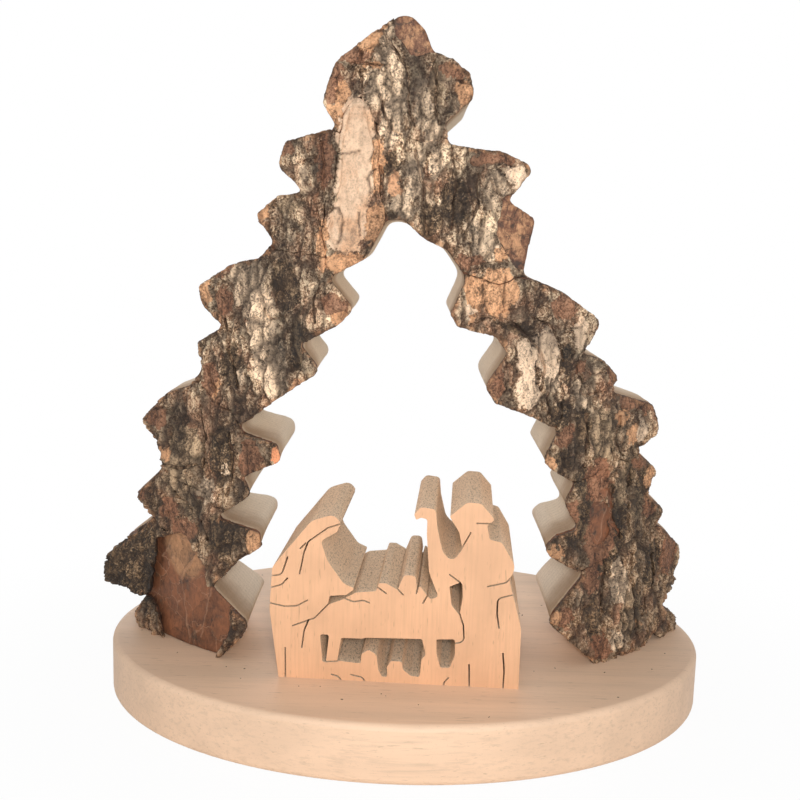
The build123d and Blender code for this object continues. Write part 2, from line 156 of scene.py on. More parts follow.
# Coloured areas of the bark, in millimetres across the log and above the plaque:
# (kind, x, height, half width, half height, lean in degrees)
BARK_PATCHES = [
    # crown
    ("pale", -11, 209.5, 2.6, 3.4, 0), ("tan", -16, 209, 2.8, 4.6, -30), ("rust", -21, 204, 6, 3, 0),
    ("pale", -11, 203.5, 3.6, 4, 0), ("tan", -15, 200.6, 4, 0.8, 0), ("rust", -27.5, 195, 4, 6, 0),
    ("tan", -23.5, 191, 2.6, 6, 8), ("tan", -27, 185, 3, 4, 0), ("pale", -14, 195, 3.2, 6, 0),
    ("pale", -8, 194, 3.4, 10, 4), ("pale", -9, 183, 3.2, 7, 0), ("pale", 0.6, 190, 3, 8, 0),
    ("pale", 4, 180, 2.4, 5, 0), ("olive", 5, 196, 2.4, 7, 0), ("tan", 14, 193.5, 3.4, 4.8, 0),
    ("rust", 10, 200.5, 4.4, 2.6, 0),
    # tongue of pale inner bark with its torn rim, and the peach scar beside it
    ("smooth", -19.8, 180, 5.8, 12.4, 4), ("smooth", -20.2, 165, 5.6, 14, 0),
    ("smooth", -22.4, 151.5, 6.6, 9, 0), ("tan", -12.8, 171, 2, 9, 0), ("tan", -13.4, 153, 3.4, 7, -20),
    ("tan", -29.6, 145, 2, 8, 0), ("tan", -22, 139.5, 8.4, 3, 0), ("peach", -7.2, 165, 2.2, 3.6, 0),
    ("dark", -9, 171, 3, 4, 0),
    # left shoulder
    ("rust", -42.5, 175, 2.8, 3, 0), ("rust", -29.5, 171, 2.4, 9, 0), ("pale", -36, 167, 1.4, 3, 20),
    ("tan", -50, 155, 2, 3, 0), ("olive", -41, 157, 4.5, 2.6, 0),
    # right shoulder
    ("pale", -1, 168, 2.4, 8, 0), ("pale", 5.5, 171.5, 2.6, 5, 0), ("dark", 12, 160, 5, 8, 0),
    ("rust", 24, 173.6, 9, 2.4, 8), ("cream", 31, 168.6, 3.2, 3.6, 20), ("pale", 23.5, 162, 2.4, 4, 0),
    ("pale", 25, 166, 3, 5, 0), ("rust", 33, 155, 6, 6, 0), ("pale", 19, 152, 4, 3, 0),
    ("pale", 22, 146, 4.6, 4.6, 0), ("dark", 4, 154, 4, 6, 0), ("pale", -5, 158, 3.4, 5, 0),
    ("tan", 27, 144, 2.6, 2, 0), ("rust", 17, 141.5, 5, 2, 0),
    # left upper arm: pale speckled band, dark hollow beside it
    ("pale", -54, 130, 6.6, 12, 14), ("pale", -48, 110, 5.6, 16, 10), ("pale", -50, 120, 6, 10, 10),
    ("rust", -64, 126, 3.4, 5, 0), ("tan", -71, 127, 2.8, 5, 0), ("rust", -64, 136, 5, 1.6, 25),
    ("dark", -42, 132, 4.6, 9, 8), ("dark", -37.6, 114, 2.6, 10, 0), ("rust", -25.5, 126, 4.6, 4.6, 0),
    ("tan", -24.5, 122, 3.6, 1.8, 0), ("pale", -43, 98.5, 2.3, 4.6, -20), ("dark", -60, 104, 4, 7, 0),
    ("pale", -57, 102, 1.4, 3, 10), ("rust", -68.5, 99, 3, 6, 0), ("tan", -66, 96.5, 1, 4.6, -16),
    ("peach", -38, 98, 1.6, 4, -14),
    # left lower arm
    ("rust", -92, 83, 6.4, 4.6, -30), ("olive", -79, 74, 7, 9, 0), ("tan", -87, 70, 2.6, 3, 0),
    ("olive", -84, 67, 5, 3, 0), ("dark", -64, 73, 4.4, 11, 0), ("rust", -54, 74, 4, 5.4, 0),
    ("pale", -63, 69, 1.3, 2.4, 0), ("rust", -52, 66.6, 4.6, 2.4, 0), ("fresh", -43.6, 75.6, 3.2, 3.6, 0),
    # left leg and flap
    ("olive", -80, 60.5, 7.6, 4.6, 0), ("rust", -99.5, 51.6, 2.8, 2.6, 0), ("rust", -86, 50, 4, 5, 0),
    ("olive", -76, 53, 5, 4.6, 0), ("pale", -70, 60, 2.4, 5, 0), ("dark", -64, 45.5, 6.6, 7, 0),
    ("tan", -52.6, 46, 2.6, 4.4, 0), ("rust", -79, 44, 5.6, 3.6, 0), ("dark", -107, 27, 20, 20, 0),
    # right upper arm
    ("tan", 27, 132, 7, 8, 0), ("tan", 18.6, 130, 2.6, 8, 0), ("cream", 18, 125.6, 2.2, 1.8, 0),
    ("rust", 49.5, 127, 4.4, 4.4, 30), ("cream", 55.4, 118.6, 2.2, 5, 0), ("dark", 34, 120.6, 5, 2, 0),
    ("cream", 37, 110, 3.2, 7, 8), ("cream", 44, 112, 4.2, 9, 8), ("cream", 38, 100, 4.2, 7.4, 0),
    ("pale", 46.5, 103, 3, 5, 0), ("rust", 27, 103, 3.6, 6, 0), ("dark", 52, 108, 2, 8, 8),
    ("pale", 56.6, 97.6, 2, 6, 14), ("rust", 57, 107.6, 2.4, 2.4, 0), ("rust", 69.5, 103, 2.6, 4, 0),
    # right lower arm
    ("tan", 73.6, 89, 3, 2.6, 0), ("rust", 80, 93, 9, 3, -10), ("cream", 82, 83.6, 1.6, 4.6, 0),
    ("tan", 79, 82, 4, 3.4, 0), ("olive", 66, 84, 4.6, 9, 0), ("dark", 52, 76, 4.6, 3.4, 0),
    ("tan", 46.6, 75, 1.6, 3, 0), ("dark", 58, 86, 3.4, 9, 0), ("dark", 50, 92, 4, 4, 0),
    ("rust", 52, 84, 3, 4, 0),
    # right leg
    ("rust", 83, 72, 5, 2.4, 0), ("tan", 86.5, 65, 2.8, 4, 0), ("olive", 74, 63, 2.2, 8, 0),
    ("rust", 65.6, 67, 5, 8, 0), ("rust", 67, 46, 6, 10, 0), ("rust", 87, 53, 4, 3, 0),
    ("rust", 56, 57, 3, 4, 0), ("tan", 50, 44, 3, 2.4, 0), ("olive", 82, 56, 2.4, 6, 0),
    ("dark", 77, 70, 2.6, 9, 0), ("dark", 75, 48, 3, 12, 0), ("dark", 58, 49, 4, 5, 0),
    ("dark", 59, 68, 3, 6, 0), ("rust", 92, 60, 3, 6, 0), ("dark", 66, 78, 4, 5, 0),
    ("dark", 70, 36, 4, 4, 0), ("dark", 61, 59, 2.6, 7, 0), ("dark", 83, 62, 2, 6, 0),
    # right foot
    ("pale", 76, 29, 4.4, 9, 8), ("olive", 82, 16, 5, 10, 8), ("pale", 77, 7, 4.4, 4, 0),
    ("rust", 99.5, 33, 5, 8, 0), ("rust", 65, 32, 3.6, 6, 0), ("dark", 66, 18, 3.2, 8, 0),
    ("rust", 56, 20, 3, 4, 0), ("rust", 70, 6, 3.6, 5, 30), ("tan", 52.5, 20.6, 2, 3, 0),
    ("dark", 90, 32, 4, 9, 0),
]
# How much a patch of each kind covers, and the gain of its dark, middle and light tones
PATCH_TONES = {
    "dark": (0.88, 0.12, 0.45, 2.5),
    "olive": (0.7, 0.2, 0.9, 1.8),
    "pale": (0.84, 0.2, 0.98, 1.6),
    "rust": (0.84, 0.25, 0.9, 1.75),
    "tan": (0.85, 0.3, 0.95, 1.5),
    "cream": (0.9, 0.3, 0.92, 1.15),
    "smooth": (0.92, 0.76, 0.97, 1.08),
    "peach": (0.9, 0.5, 0.95, 1.15),
    "fresh": (0.92, 0.6, 0.9, 1.05),
}
PATCH_KINDS = tuple(PATCH_TONES)

# Cracks in the bark's face: (x, height) in millimetres along each crack
FACE_CRACKS = [
    # tongue
    [(-26, 173.6), (-22, 174), (-18.6, 174.8)],
    [(-15.4, 162), (-15.8, 166), (-14, 169)],
    [(-27.5, 157.6), (-25.4, 157.4), (-24, 153), (-24.6, 146)],
    [(-18.6, 156), (-18.2, 148.6)],
    [(-16.6, 158), (-14, 157.4)],
    # crown
    [(-16, 206.4), (-12.6, 206), (-10, 207.4)],
    [(-26.4, 199), (-25.6, 193)],
    [(11, 197.6), (17, 197)],
    [(0, 187), (3, 184.6), (4.6, 188)],
    # arms and legs
    [(-88, 85), (-84, 78), (-87, 72)],
    [(-56, 78), (-55, 68)],
    [(-94, 84), (-88, 86), (-83, 84)],
    [(-104, 30), (-99, 24), (-101, 14)],
    [(30, 112), (32, 104), (30, 96)],
    [(22, 134), (23.4, 126)],
    [(26, 122.5), (33, 121), (40, 118)],
    [(41, 118), (40.6, 108), (42, 100)],
    [(29, 137), (29, 127)],
    [(60, 103), (66, 106)],
    [(84, 92), (79, 90)],
    [(66, 88), (64, 80)],
    [(86, 46), (85, 40)],
    [(75, 24), (78, 14)],
    [(96, 40), (95, 28)],
]
# Pale veins on the bare bast of the left foot and on the bare patch of the right leg
BAST_VEINS = [
    [(-86, 32), (-81, 25), (-75, 34)],
    [(-81, 25), (-79.5, 14), (-77.5, 1)],
    [(-69, 25), (-70.5, 15), (-73.5, 4)],
    [(-90, 30), (-84, 40), (-76, 39)],
    [(63, 58), (66.5, 60), (69, 66)],
    [(65, 44), (66.5, 52), (68, 58)],
]
# Areas of the bare bast, in the same rows: warmer, pinker, and nearly level with the bark around it
BAST_PATCHES = [
    ("tint", -3, 210, 11, 11, 0), ("tint", 35, 152, 12, 16, 0),
    ("blush", -80, 37, 9, 12, 0), ("rise", 66.5, 52, 8, 13, 0),
]


def linear(code):
    """Linear RGBA of an sRGB hex colour."""
    channels = [int(code[i:i + 2], 16) / 255 for i in (1, 3, 5)]
    return tuple(c / 12.92 if c <= 0.04045 else ((c + 0.055) / 1.055) ** 2.4 for c in channels) + (1.0,)


def add_node(tree, kind, inputs=(), operation=None, out=None, stops=(), **settings):
    """Adds a node with its settings, ramp stops and inputs, and returns the output asked for.

    A kind without a prefix is a shader node. Inputs are a dict by name, or a tuple in the node's own order.
    """
    prefixed = kind.startswith(("GeometryNode", "FunctionNode", "NodeGroup"))
    node = tree.nodes.new(kind if prefixed else "ShaderNode" + kind)
    if operation:
        node.operation = operation
    for name, value in settings.items():
        setattr(node, name, value)
    if stops:
        elements = node.color_ramp.elements
        while len(elements) < len(stops):
            elements.new(1.0)
        for element, (place, colour) in zip(elements, stops):
            element.position = place
            element.color = colour
    sockets = [socket for socket in node.inputs if socket.enabled]
    if isinstance(inputs, dict):
        sockets = [next(socket for socket in sockets if socket.name == name) for name in inputs]
        inputs = inputs.values()
    for socket, value in zip(sockets, inputs):
        if isinstance(value, bpy.types.NodeSocket):
            tree.links.new(value, socket)
        else:
            socket.default_value = value
    if out is not None:
        return node.outputs[out]
    return next((socket for socket in node.outputs if socket.enabled), None)


def colour_setting(title, meaning, code):
    """Colour property with a hex default."""
    return FloatVectorProperty(
        name=title, description=meaning, default=linear(code), size=4, min=0, max=1, subtype="COLOR"
    )


def length_setting(title, meaning, size):
    """Length property with a default in millimetres."""
    return FloatProperty(
        name=title, description=meaning, default=size * MM, min=0, precision=5, unit="LENGTH"
    )


def power_setting(title, meaning, power):
    """Lamp power property."""
    return FloatProperty(name=title, description=meaning, default=power, min=0, unit="POWER")


def angle_setting(title, meaning, degrees):
    """Angle property with a default in degrees."""
    return FloatProperty(name=title, description=meaning, default=math.radians(degrees), subtype="ANGLE")


class NativityBark(bpy.types.PropertyGroup):
    """Relief and colours of the bark and the bast under it."""

    grid: length_setting("Grid", "Spacing of the mesh that carries the bark relief", 0.45)
    rib_width: length_setting("Rib width", "Width of one upright rib of bark", 4.6)
    furrow_depth: length_setting("Furrow depth", "Depth of the furrows between ribs", 1.4)
    rib_step: length_setting("Rib step", "How much neighbouring ribs differ in height", 0.9)
    flake_width: length_setting("Flake width", "Width of the small flakes on a rib", 2.0)
    flake_step: length_setting("Flake step", "How much neighbouring flakes differ in height", 0.6)
    crumble: length_setting("Crumble", "How far broken edges wander from the sawn outline", 1.1)
    wander: length_setting("Wander", "How far cracks wander inside the outline", 3.0)
    crack_close: length_setting("Crack close", "How far the sides of a crack lean to each other", 0.3)
    crack_width: length_setting("Crack width", "Half width of the cracks in the bark's face", 0.85)
    swell: length_setting("Swell", "Height of the gentle swells of the bast", 1.3)
    vein_width: length_setting("Vein width", "Half width of the raised veins of the bast", 0.8)
    vein_height: length_setting("Vein height", "Height of the raised veins of the bast", 0.45)
    bast_rise: length_setting("Bast rise", "How far the bare patch of the right leg stands out", 2.6)
    # The pit colour is also the painted shade in furrows, cracks, hollows and along patch edges; the lichen
    # colour is also that of the painted glints among the bright flecks
    pit: colour_setting("Pits", "Pits, deep furrows and cracks", "#2A1D14")
    brown: colour_setting("Bark brown", "Weathered outer bark", "#73573C")
    grey: colour_setting("Bark grey", "Weathered ridges", "#9B8067")
    lichen: colour_setting("Lichen", "Pale flecks on the ridges", "#DEC4A3")
    cream: colour_setting("Cream scales", "Pale crackled scales", "#E2C4A6")
    smooth: colour_setting("Pale tongue", "Smooth pale inner bark", "#E8C6A7")
    tan: colour_setting("Torn edge", "Torn bark", "#BC8C66")
    rust: colour_setting("Red bark", "Red-brown bark where flakes came off", "#714A34")
    dark: colour_setting("Charcoal bark", "Darkest plates", "#4A3927")
    olive: colour_setting("Olive bark", "Plates with a thin film of algae", "#A88E70")
    peach: colour_setting("Scar", "Healed scar of a twig", "#D9A47C")
    pale: colour_setting("Pale scales", "Bark whose scales are pale and speckled", "#BFA68B")
    fresh: colour_setting("Fresh split", "Newly split wood at a tip", "#EE9C6E")
    bast: colour_setting("Bast", "Smooth inner bark", "#7A4D33")
    blush: colour_setting("Pink bast", "Upper part of the bare bast", "#A07553")
    vein: colour_setting("Vein", "Raised veins of the inner bark", "#AC8367")


class NativityWood(bpy.types.PropertyGroup):
    """Sizes and colours of the woods, the screws and the crumbs."""

    arch_grid: length_setting("Arch grid", "Spacing of the mesh that carries the arch's soft corners", 1.2)
    saw_step: length_setting("Saw step", "Height of the shallow steps that the blade left", 0.8)
    sapwood: colour_setting("Sapwood", "Sawn sapwood of the arch", "#F0E2CE")
    sapwood_edge: colour_setting("Sapwood edge", "Stained wood next to the bark", "#9C7750")
    plaque: colour_setting("Plaque", "Planed lime wood", "#E6C4A6")
    plaque_dash: colour_setting("Plaque dash", "Dark dashes in the lime wood", "#A88A70")
    figure: colour_setting("Figure front", "Sanded front of the figure block", "#E3B189")
    figure_sawn: colour_setting("Figure sides", "Sawn sides of the figure block", "#E6CFB3")
    steel: colour_setting("Screw", "Zinc plated screws", "#B9B7B0")
    crumb: colour_setting("Crumb", "Bark dust on the plaque", "#3A2C22")
    crumb_count: IntProperty(
        name="Crumbs", description="Bark crumbs for each square metre of plaque", default=12000, min=0
    )
    crumb_size: length_setting("Crumb size", "Radius of a large crumb", 0.42)


class NativityStage(bpy.types.PropertyGroup):
    """Camera, lamps and floor."""

    floor: colour_setting("Floor", "Plain pale floor", "#F4F2EE")
    key_power: power_setting("Key", "Power of the front lamp", 1.12)
    fill_power: power_setting("Fill", "Power of each side lamp", 0.7)
    back_power: power_setting("Back", "Power of the rear lamp", 3.6)
    sky: FloatProperty(name="Sky", description="Strength of the even light all round", default=0.4, min=0)
    lens: FloatProperty(name="Lens", description="Focal length on a 36 mm sensor", default=48.76, min=1)
    pitch: angle_setting("Pitch", "Camera's tilt down", 8.881)
    yaw: angle_setting("Yaw", "Camera's turn to the right", -0.417)
    roll: angle_setting("Roll", "Camera's roll", 1.587)


def new_object(name, data):
    """Object of that name in the scene."""
    made = bpy.data.objects.new(name, data)
    bpy.context.scene.collection.objects.link(made)
    return made


def front_point(x, height):
    """Place without depth, as seen from the front, from millimetres across the log and above the plaque."""
    return x * MM, 0, PLAQUE_TOP + height * MM


def new_tree(name, inputs):
    """Geometry node tree with named inputs, the function that adds nodes to it, and what it is given."""
    tree = bpy.data.node_groups.new(name, "GeometryNodeTree")
    tree.interface.new_socket("Geometry", in_out="OUTPUT", socket_type="NodeSocketGeometry")
    for title, kind in {"Geometry": "Geometry", **inputs, "Material": "Material"}.items():
        tree.interface.new_socket(title, in_out="INPUT", socket_type="NodeSocket" + kind)
    return tree, partial(add_node, tree), tree.nodes.new("NodeGroupInput").outputs


def finish_tree(add, geometry, material):
    """Closes a geometry tree with Realize Instances and Set Material."""
    real = add("GeometryNodeRealizeInstances", (geometry,))
    smooth = add("GeometryNodeSetShadeSmooth", {"Geometry": real})
    done = add("GeometryNodeSetMaterial", {"Geometry": smooth, "Material": material})
    add("NodeGroupOutput", {"Geometry": done})


def kept_in_box(add, geometry):
    """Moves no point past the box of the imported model."""
    place = add("GeometryNodeInputPosition")
    low = add("VectorMath", (place, CAD_BOX[0]), "MAXIMUM")
    both = add("VectorMath", (low, CAD_BOX[1]), "MINIMUM")
    return add("GeometryNodeSetPosition", {"Geometry": geometry, "Position": both})


def with_fields(add, geometry, fields):
    """Geometry that keeps the fields under their names, for a finish to read."""
    for title, field in fields.items():
        geometry = add(
            "GeometryNodeStoreNamedAttribute", {"Geometry": geometry, "Name": title, "Value": field},
            data_type="FLOAT", domain="POINT",
        )
    return geometry


def gridded_copy(node, spacing):
    """Scratch object with a merged copy of a CAD node's mesh, on an even grid."""
    mesh = bpy.data.meshes.new(node)
    work = bmesh.new()
    work.from_mesh(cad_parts[node].data)
    bmesh.ops.remove_doubles(work, verts=work.verts, dist=MERGE_DISTANCE)
    work.to_mesh(mesh)
    work.free()
    scratch = new_object(node + "_blank", mesh)
    remesh = scratch.modifiers.new("grid", "REMESH")
    remesh.mode = "VOXEL"
    remesh.voxel_size = spacing
    return scratch


def sizes_from(settings, titles):
    """Values of the settings that a tree takes, by the names of its inputs."""
    return {title: getattr(settings, title.lower().replace(" ", "_")) for title in titles}


def baked(scratch, tree, values, name):
    """Plain mesh piece from a scratch object and a geometry tree. The scratch object is removed."""
    modifier = scratch.modifiers.new("tree", "NODES")
    modifier.node_group = tree
    for item in tree.interface.items_tree:
        if item.in_out == "INPUT" and item.name in values:
            modifier[item.identifier] = values[item.name]
    graph = bpy.context.evaluated_depsgraph_get()
    mesh = bpy.data.meshes.new_from_object(
        scratch.evaluated_get(graph), preserve_all_data_layers=True, depsgraph=graph
    )
    mesh.name = name
    bpy.data.objects.remove(scratch)
    return new_object(name, mesh)


def line_mesh(name, lines):
    """Scratch object whose edges follow lines of (x, height) rows, flat as seen from the front."""
    mesh = bpy.data.meshes.new(name)
    points, edges = [], []
    for line in lines:
        first = len(points)
        points += [front_point(x, height) for x, height in line]
        edges += [(end - 1, end) for end in range(first + 1, len(points))]
    mesh.from_pydata(points, edges, [])
    scratch = new_object(name, mesh)
    scratch.hide_render = True
    return scratch


def near_lines(add, place, lines, width):
    """1 on the scratch object's lines, seen from the front, falling to 0 at that distance."""
    target = add("GeometryNodeObjectInfo", {"Object": lines}, out="Geometry")
    flat = add("VectorMath", (place, FROM_FRONT), "MULTIPLY")
    distance = add(
        "GeometryNodeProximity", {"Geometry": target, "Sample Position": flat}, out="Distance",
        target_element="EDGES",
    )
    reach = {"Value": distance, "From Min": width, "From Max": 0}
    return add("MapRange", reach, interpolation_type="SMOOTHSTEP")


def patch_group():
    """Node group: how far inside a leaning oval patch a place is, from 0 outside to 1 inside."""
    tree = bpy.data.node_groups.new("patch_reach", "GeometryNodeTree")
    for title in ("Place", "Centre", "Half Size"):
        tree.interface.new_socket(title, in_out="INPUT", socket_type="NodeSocketVector")
    tree.interface.new_socket("Lean", in_out="INPUT", socket_type="NodeSocketFloat")
    tree.interface.new_socket("Reach", in_out="OUTPUT", socket_type="NodeSocketFloat")
    given = tree.nodes.new("NodeGroupInput").outputs
    add = partial(add_node, tree)
    turn = {"Vector": given["Place"], "Center": given["Centre"], "Angle": given["Lean"]}
    turned = add("VectorRotate", turn, rotation_type="Y_AXIS")
    away = add("VectorMath", (turned, given["Centre"]), "SUBTRACT")
    flat = add("VectorMath", (away, FROM_FRONT), "MULTIPLY")
    share = add("VectorMath", (flat, given["Half Size"]), "DIVIDE")
    far = add("VectorMath", (share,), "LENGTH")
    soft_edge = {"Value": far, "From Min": 1.1, "From Max": 0.85}
    add("NodeGroupOutput", {"Reach": add("MapRange", soft_edge, interpolation_type="SMOOTHSTEP")})
    return tree


def patch_fields(add, place, patches):
    """How far inside the patches of each kind a place is."""
    group = patch_group()
    fields = {}
    for kind, x, height, half_width, half_height, lean in patches:
        reach = add("GeometryNodeGroup", {
            "Place": place,
            "Centre": front_point(x, height),
            "Half Size": (half_width * MM, 1, half_height * MM),
            "Lean": math.radians(lean),
        }, out="Reach", node_tree=group)
        known = fields.get(kind)
        fields[kind] = add("Math", (known, reach), "MAXIMUM") if known else reach
    return fields


def from_log_axis(add, place):
    """Level way from the log's axis to a place, and its length."""
    away = add("VectorMath", (place, (LOG_AXIS_X, LOG_AXIS_Y, 0)), "SUBTRACT")
    level = add("VectorMath", (away, FROM_ABOVE), "MULTIPLY")
    return level, add("VectorMath", (level,), "LENGTH")


def log_fields(add, outer_radius, thickness):
    """Position, outward direction across the log, and share of the layer's thickness from its inner face."""
    place = add("GeometryNodeInputPosition")
    level, radius = from_log_axis(add, place)
    outward = add("VectorMath", (level,), "NORMALIZE")
    inner_radius = outer_radius - thickness
    share = add("MapRange", {"Value": radius, "From Min": inner_radius, "From Max": outer_radius})
    return place, outward, share


def shaken_place(add, place, size, reach, **noise):
    """A soft noise around zero, and the place shaken by it, so that no edge there is a clean curve."""
    shake = add("TexNoise", {"Vector": place, "Scale": 1 / size, **noise}, out="Color")
    centred = add("VectorMath", (shake, MID_GREY), "SUBTRACT")
    moved = add("VectorMath", (centred, reach), "SCALE")
    return centred, add("VectorMath", (place, moved), "ADD")


def bark_tree(lines):
    """Relief of the outer bark: furrowed plates, flakes, cracks, coloured patches and broken edges."""
    sizes = dict.fromkeys(BARK_SIZES + ("Worn Tip",), "Float")
    tree, add, given = new_tree("bark_relief", {**sizes, "Slab": "Object"})
    place, outward, share = log_fields(add, LOG_RADIUS, BARK_THICKNESS)
    centred, shaken = shaken_place(add, place, size=BARK_SHAKE, reach=BARK_SHAKE, Detail=4.0, Roughness=0.6)
    grit = add("TexNoise", {"Vector": place, "Scale": 1 / GRIT_SIZE, "Detail": 3.0}, out="Color")
    gritty = add("VectorMath", (grit, MID_GREY), "SUBTRACT")
    frayed = add("VectorMath", (gritty, GRIT_REACH, shaken), "MULTIPLY_ADD")
    fields = patch_fields(add, frayed, BARK_PATCHES)

    # rounded ribs, much taller than wide, with small flakes and fibres on them
    tall = add("VectorMath", (shaken, RIB_SQUEEZE), "MULTIPLY")
    per_rib = add("Math", (1.0, given["Rib Width"]), "DIVIDE")
    rib_way = add("TexVoronoi", {"Vector": tall, "Scale": per_rib}, feature="DISTANCE_TO_EDGE")
    furrow_slope = {"Value": rib_way, "From Min": 0.22, "From Max": 0.0}
    furrow = add("MapRange", furrow_slope, interpolation_type="SMOOTHSTEP")
    rib_tint = add("TexVoronoi", {"Vector": tall, "Scale": per_rib}, out="Color")
    rib_tone = add("VectorMath", (rib_tint, ALONG_X), "DOT_PRODUCT")
    short = add("VectorMath", (shaken, FLAKE_SQUEEZE), "MULTIPLY")
    per_flake = add("Math", (1.0, given["Flake Width"]), "DIVIDE")
    flake_tint = add("TexVoronoi", {"Vector": short, "Scale": per_flake}, out="Color")
    flake_tone = add("VectorMath", (flake_tint, ALONG_X), "DOT_PRODUCT")
    drawn = add("VectorMath", (place, FIBRE_SQUEEZE), "MULTIPLY")
    fibre = add("TexNoise", {"Vector": drawn, "Scale": 1 / FIBRE_SIZE, "Detail": 6.0, "Roughness": 0.68})
    crack = near_lines(add, shaken, lines, given["Crack Width"])

    # closeness to the sawn outline of the arch, measured flat, as the saw went straight through
    flat = add("VectorMath", (shaken, FROM_FRONT), "MULTIPLY")
    slab = add("GeometryNodeObjectInfo", {"Object": given["Slab"]}, out="Geometry")
    facing = add("VectorMath", (add("GeometryNodeInputNormal"), ALONG_Y), "DOT_PRODUCT")
    sideways = add("Math", (facing,), "ABSOLUTE")
    is_side = add("FunctionNodeCompare", {"A": sideways, "B": 0.02}, "LESS_THAN")
    sides = add("GeometryNodeSeparateGeometry", {"Geometry": slab, "Selection": is_side}, domain="FACE")
    own_place = add("GeometryNodeInputPosition")
    pressed = add("GeometryNodeSetPosition", {
        "Geometry": sides, "Position": add("VectorMath", (own_place, FROM_FRONT), "MULTIPLY"),
    })
    to_side = add(
        "GeometryNodeProximity", {"Geometry": pressed, "Sample Position": flat}, out="Distance",
        target_element="EDGES",
    )
    rim_slope = {"Value": to_side, "From Min": 2.4 * MM, "From Max": 0.3 * MM}
    rim = add("MapRange", rim_slope, interpolation_type="SMOOTHSTEP")

    # smoother where flakes came off and on the pale plates
    calm = fields["rust"]
    for kind in ("cream", "tan", "smooth", "fresh"):
        calm = add("Math", (fields[kind], calm), "MAXIMUM")
    rough = add("MapRange", {"Value": calm, "To Min": 1.0, "To Max": 0.4})
    step = add("Math", (rib_tone, given["Rib Step"], -RIB_SINK), "MULTIPLY_ADD")
    flakes = add("Math", (flake_tone, given["Flake Step"], step), "MULTIPLY_ADD")
    depth = add("Math", (furrow, given["Furrow Depth"]), "MULTIPLY")
    ribs = add("Math", (flakes, depth), "SUBTRACT")
    fibres = add("Math", (fibre, FIBRE_HEIGHT, -FIBRE_SINK), "MULTIPLY_ADD")
    rugged = add("Math", (ribs, fibres), "ADD")
    height = add("Math", (rugged, rough), "MULTIPLY")
    patch_steps = ((fields["cream"], CREAM_LIFT), (fields["rust"], -RUST_DROP))
    for field, change in patch_steps + ((crack, -CRACK_DEPTH), (rim, -RIM_DROP)):
        height = add("Math", (field, change, height), "MULTIPLY_ADD")
    height = add("Clamp", {"Value": height, "Min": RELIEF_LOWEST, "Max": RELIEF_HIGHEST})
    lift = add("Math", (height, share), "MULTIPLY")
    offset = add("VectorMath", (outward, lift), "SCALE")

    # broken edges wander a little across and up, and more inside the outline, where cracks close up too
    crumble = add("VectorMath", (gritty, given["Crumble"]), "SCALE")
    inside_slope = {"Value": to_side, "From Min": 0.8 * MM, "From Max": 6 * MM}
    inside = add("MapRange", inside_slope, interpolation_type="SMOOTHSTEP")
    roam = add("Math", (inside, given["Wander"]), "MULTIPLY")
    roamed = add("VectorMath", (centred, roam), "SCALE")
    skin = add("GeometryNodeInputNormal")
    turned_out = add("VectorMath", (skin, outward), "DOT_PRODUCT")
    over_face = add("VectorMath", (outward, turned_out), "SCALE")
    over_side = add("VectorMath", (skin, over_face), "SUBTRACT")
    within = add("MapRange", {"Value": to_side, "From Min": 0.6 * MM, "From Max": 1.8 * MM})
    close = add("Math", (within, given["Crack Close"]), "MULTIPLY")
    closed = add("VectorMath", (over_side, close), "SCALE")

    # the free end of the flap narrows to its tip, more from above than from below
    apart = add("SeparateXYZ", (place,)).node.outputs
    free_end = {"From Min": FLAP_WORN_FROM_X, "From Max": FLAP_TIP_X, "To Max": given["Worn Tip"]}
    toward = add("MapRange", {"Value": apart["X"], **free_end})
    from_tip = {"Value": apart["Z"], "From Min": FLAP_TIP_Z}
    above, below = (
        add("MapRange", {**from_tip, "From Max": FLAP_TIP_Z + far, "To Max": move})
        for far, move in (FLAP_WEAR_ABOVE, FLAP_WEAR_BELOW)
    )
    near_tip = add("Math", (below, toward), "MULTIPLY")
    either = add("Math", (above, near_tip), "ADD")
    narrowed = add("Math", (either, toward), "MULTIPLY")
    worn_tip = add("CombineXYZ", {"Z": narrowed})
    for part in (crumble, roamed, closed, worn_tip):
        offset = add("VectorMath", (offset, part), "ADD")

    # what the finish reads
    # the furrows, relief cracks and low hollows stored here are darkened by the finish, partly as dirt and
    # partly as painted shade
    groove = add("Math", (furrow, rough), "MULTIPLY")
    shade = add("Math", (groove, crack), "MAXIMUM")
    sunk = add("MapRange", {"Value": height, "From Min": -0.3 * MM, "From Max": -2.0 * MM})
    stored = dict(fields, groove=shade, rim=rim, layer=share, tone=rib_tone, flake=flake_tone, sunk=sunk)
    geometry = with_fields(add, given["Geometry"], stored)
    geometry = add("GeometryNodeSetPosition", {"Geometry": geometry, "Offset": offset})
    finish_tree(add, kept_in_box(add, geometry), given["Material"])
    return tree


def bast_tree(lines):
    """Gentle relief of the thin bast layer, with raised veins where it lies bare."""
    tree, add, given = new_tree("bast_relief", dict.fromkeys(BAST_SIZES, "Float"))
    place, outward, share = log_fields(add, LOG_RADIUS - BARK_THICKNESS, BAST_THICKNESS)
    swell = add("TexNoise", {"Vector": place, "Scale": 1 / (9 * MM), "Detail": 4.0, "Roughness": 0.55})
    shaken = shaken_place(add, place, size=6 * MM, reach=4 * MM, Detail=3.0)[1]
    vein = near_lines(add, shaken, lines, given["Vein Width"])
    fields = patch_fields(add, shaken, BAST_PATCHES)
    height = add("Math", (swell, given["Swell"], -SWELL_SINK), "MULTIPLY_ADD")
    for field, change in ((vein, given["Vein Height"]), (fields["rise"], given["Bast Rise"])):
        height = add("Math", (field, change, height), "MULTIPLY_ADD")
    lift = add("Math", (height, share), "MULTIPLY")
    offset = add("VectorMath", (outward, lift), "SCALE")
    stored = dict(vein=vein, layer=share, tint=fields["tint"], blush=fields["blush"])
    geometry = with_fields(add, given["Geometry"], stored)
    geometry = add("GeometryNodeSetPosition", {"Geometry": geometry, "Offset": offset})
    finish_tree(add, kept_in_box(add, geometry), given["Material"])
    return tree


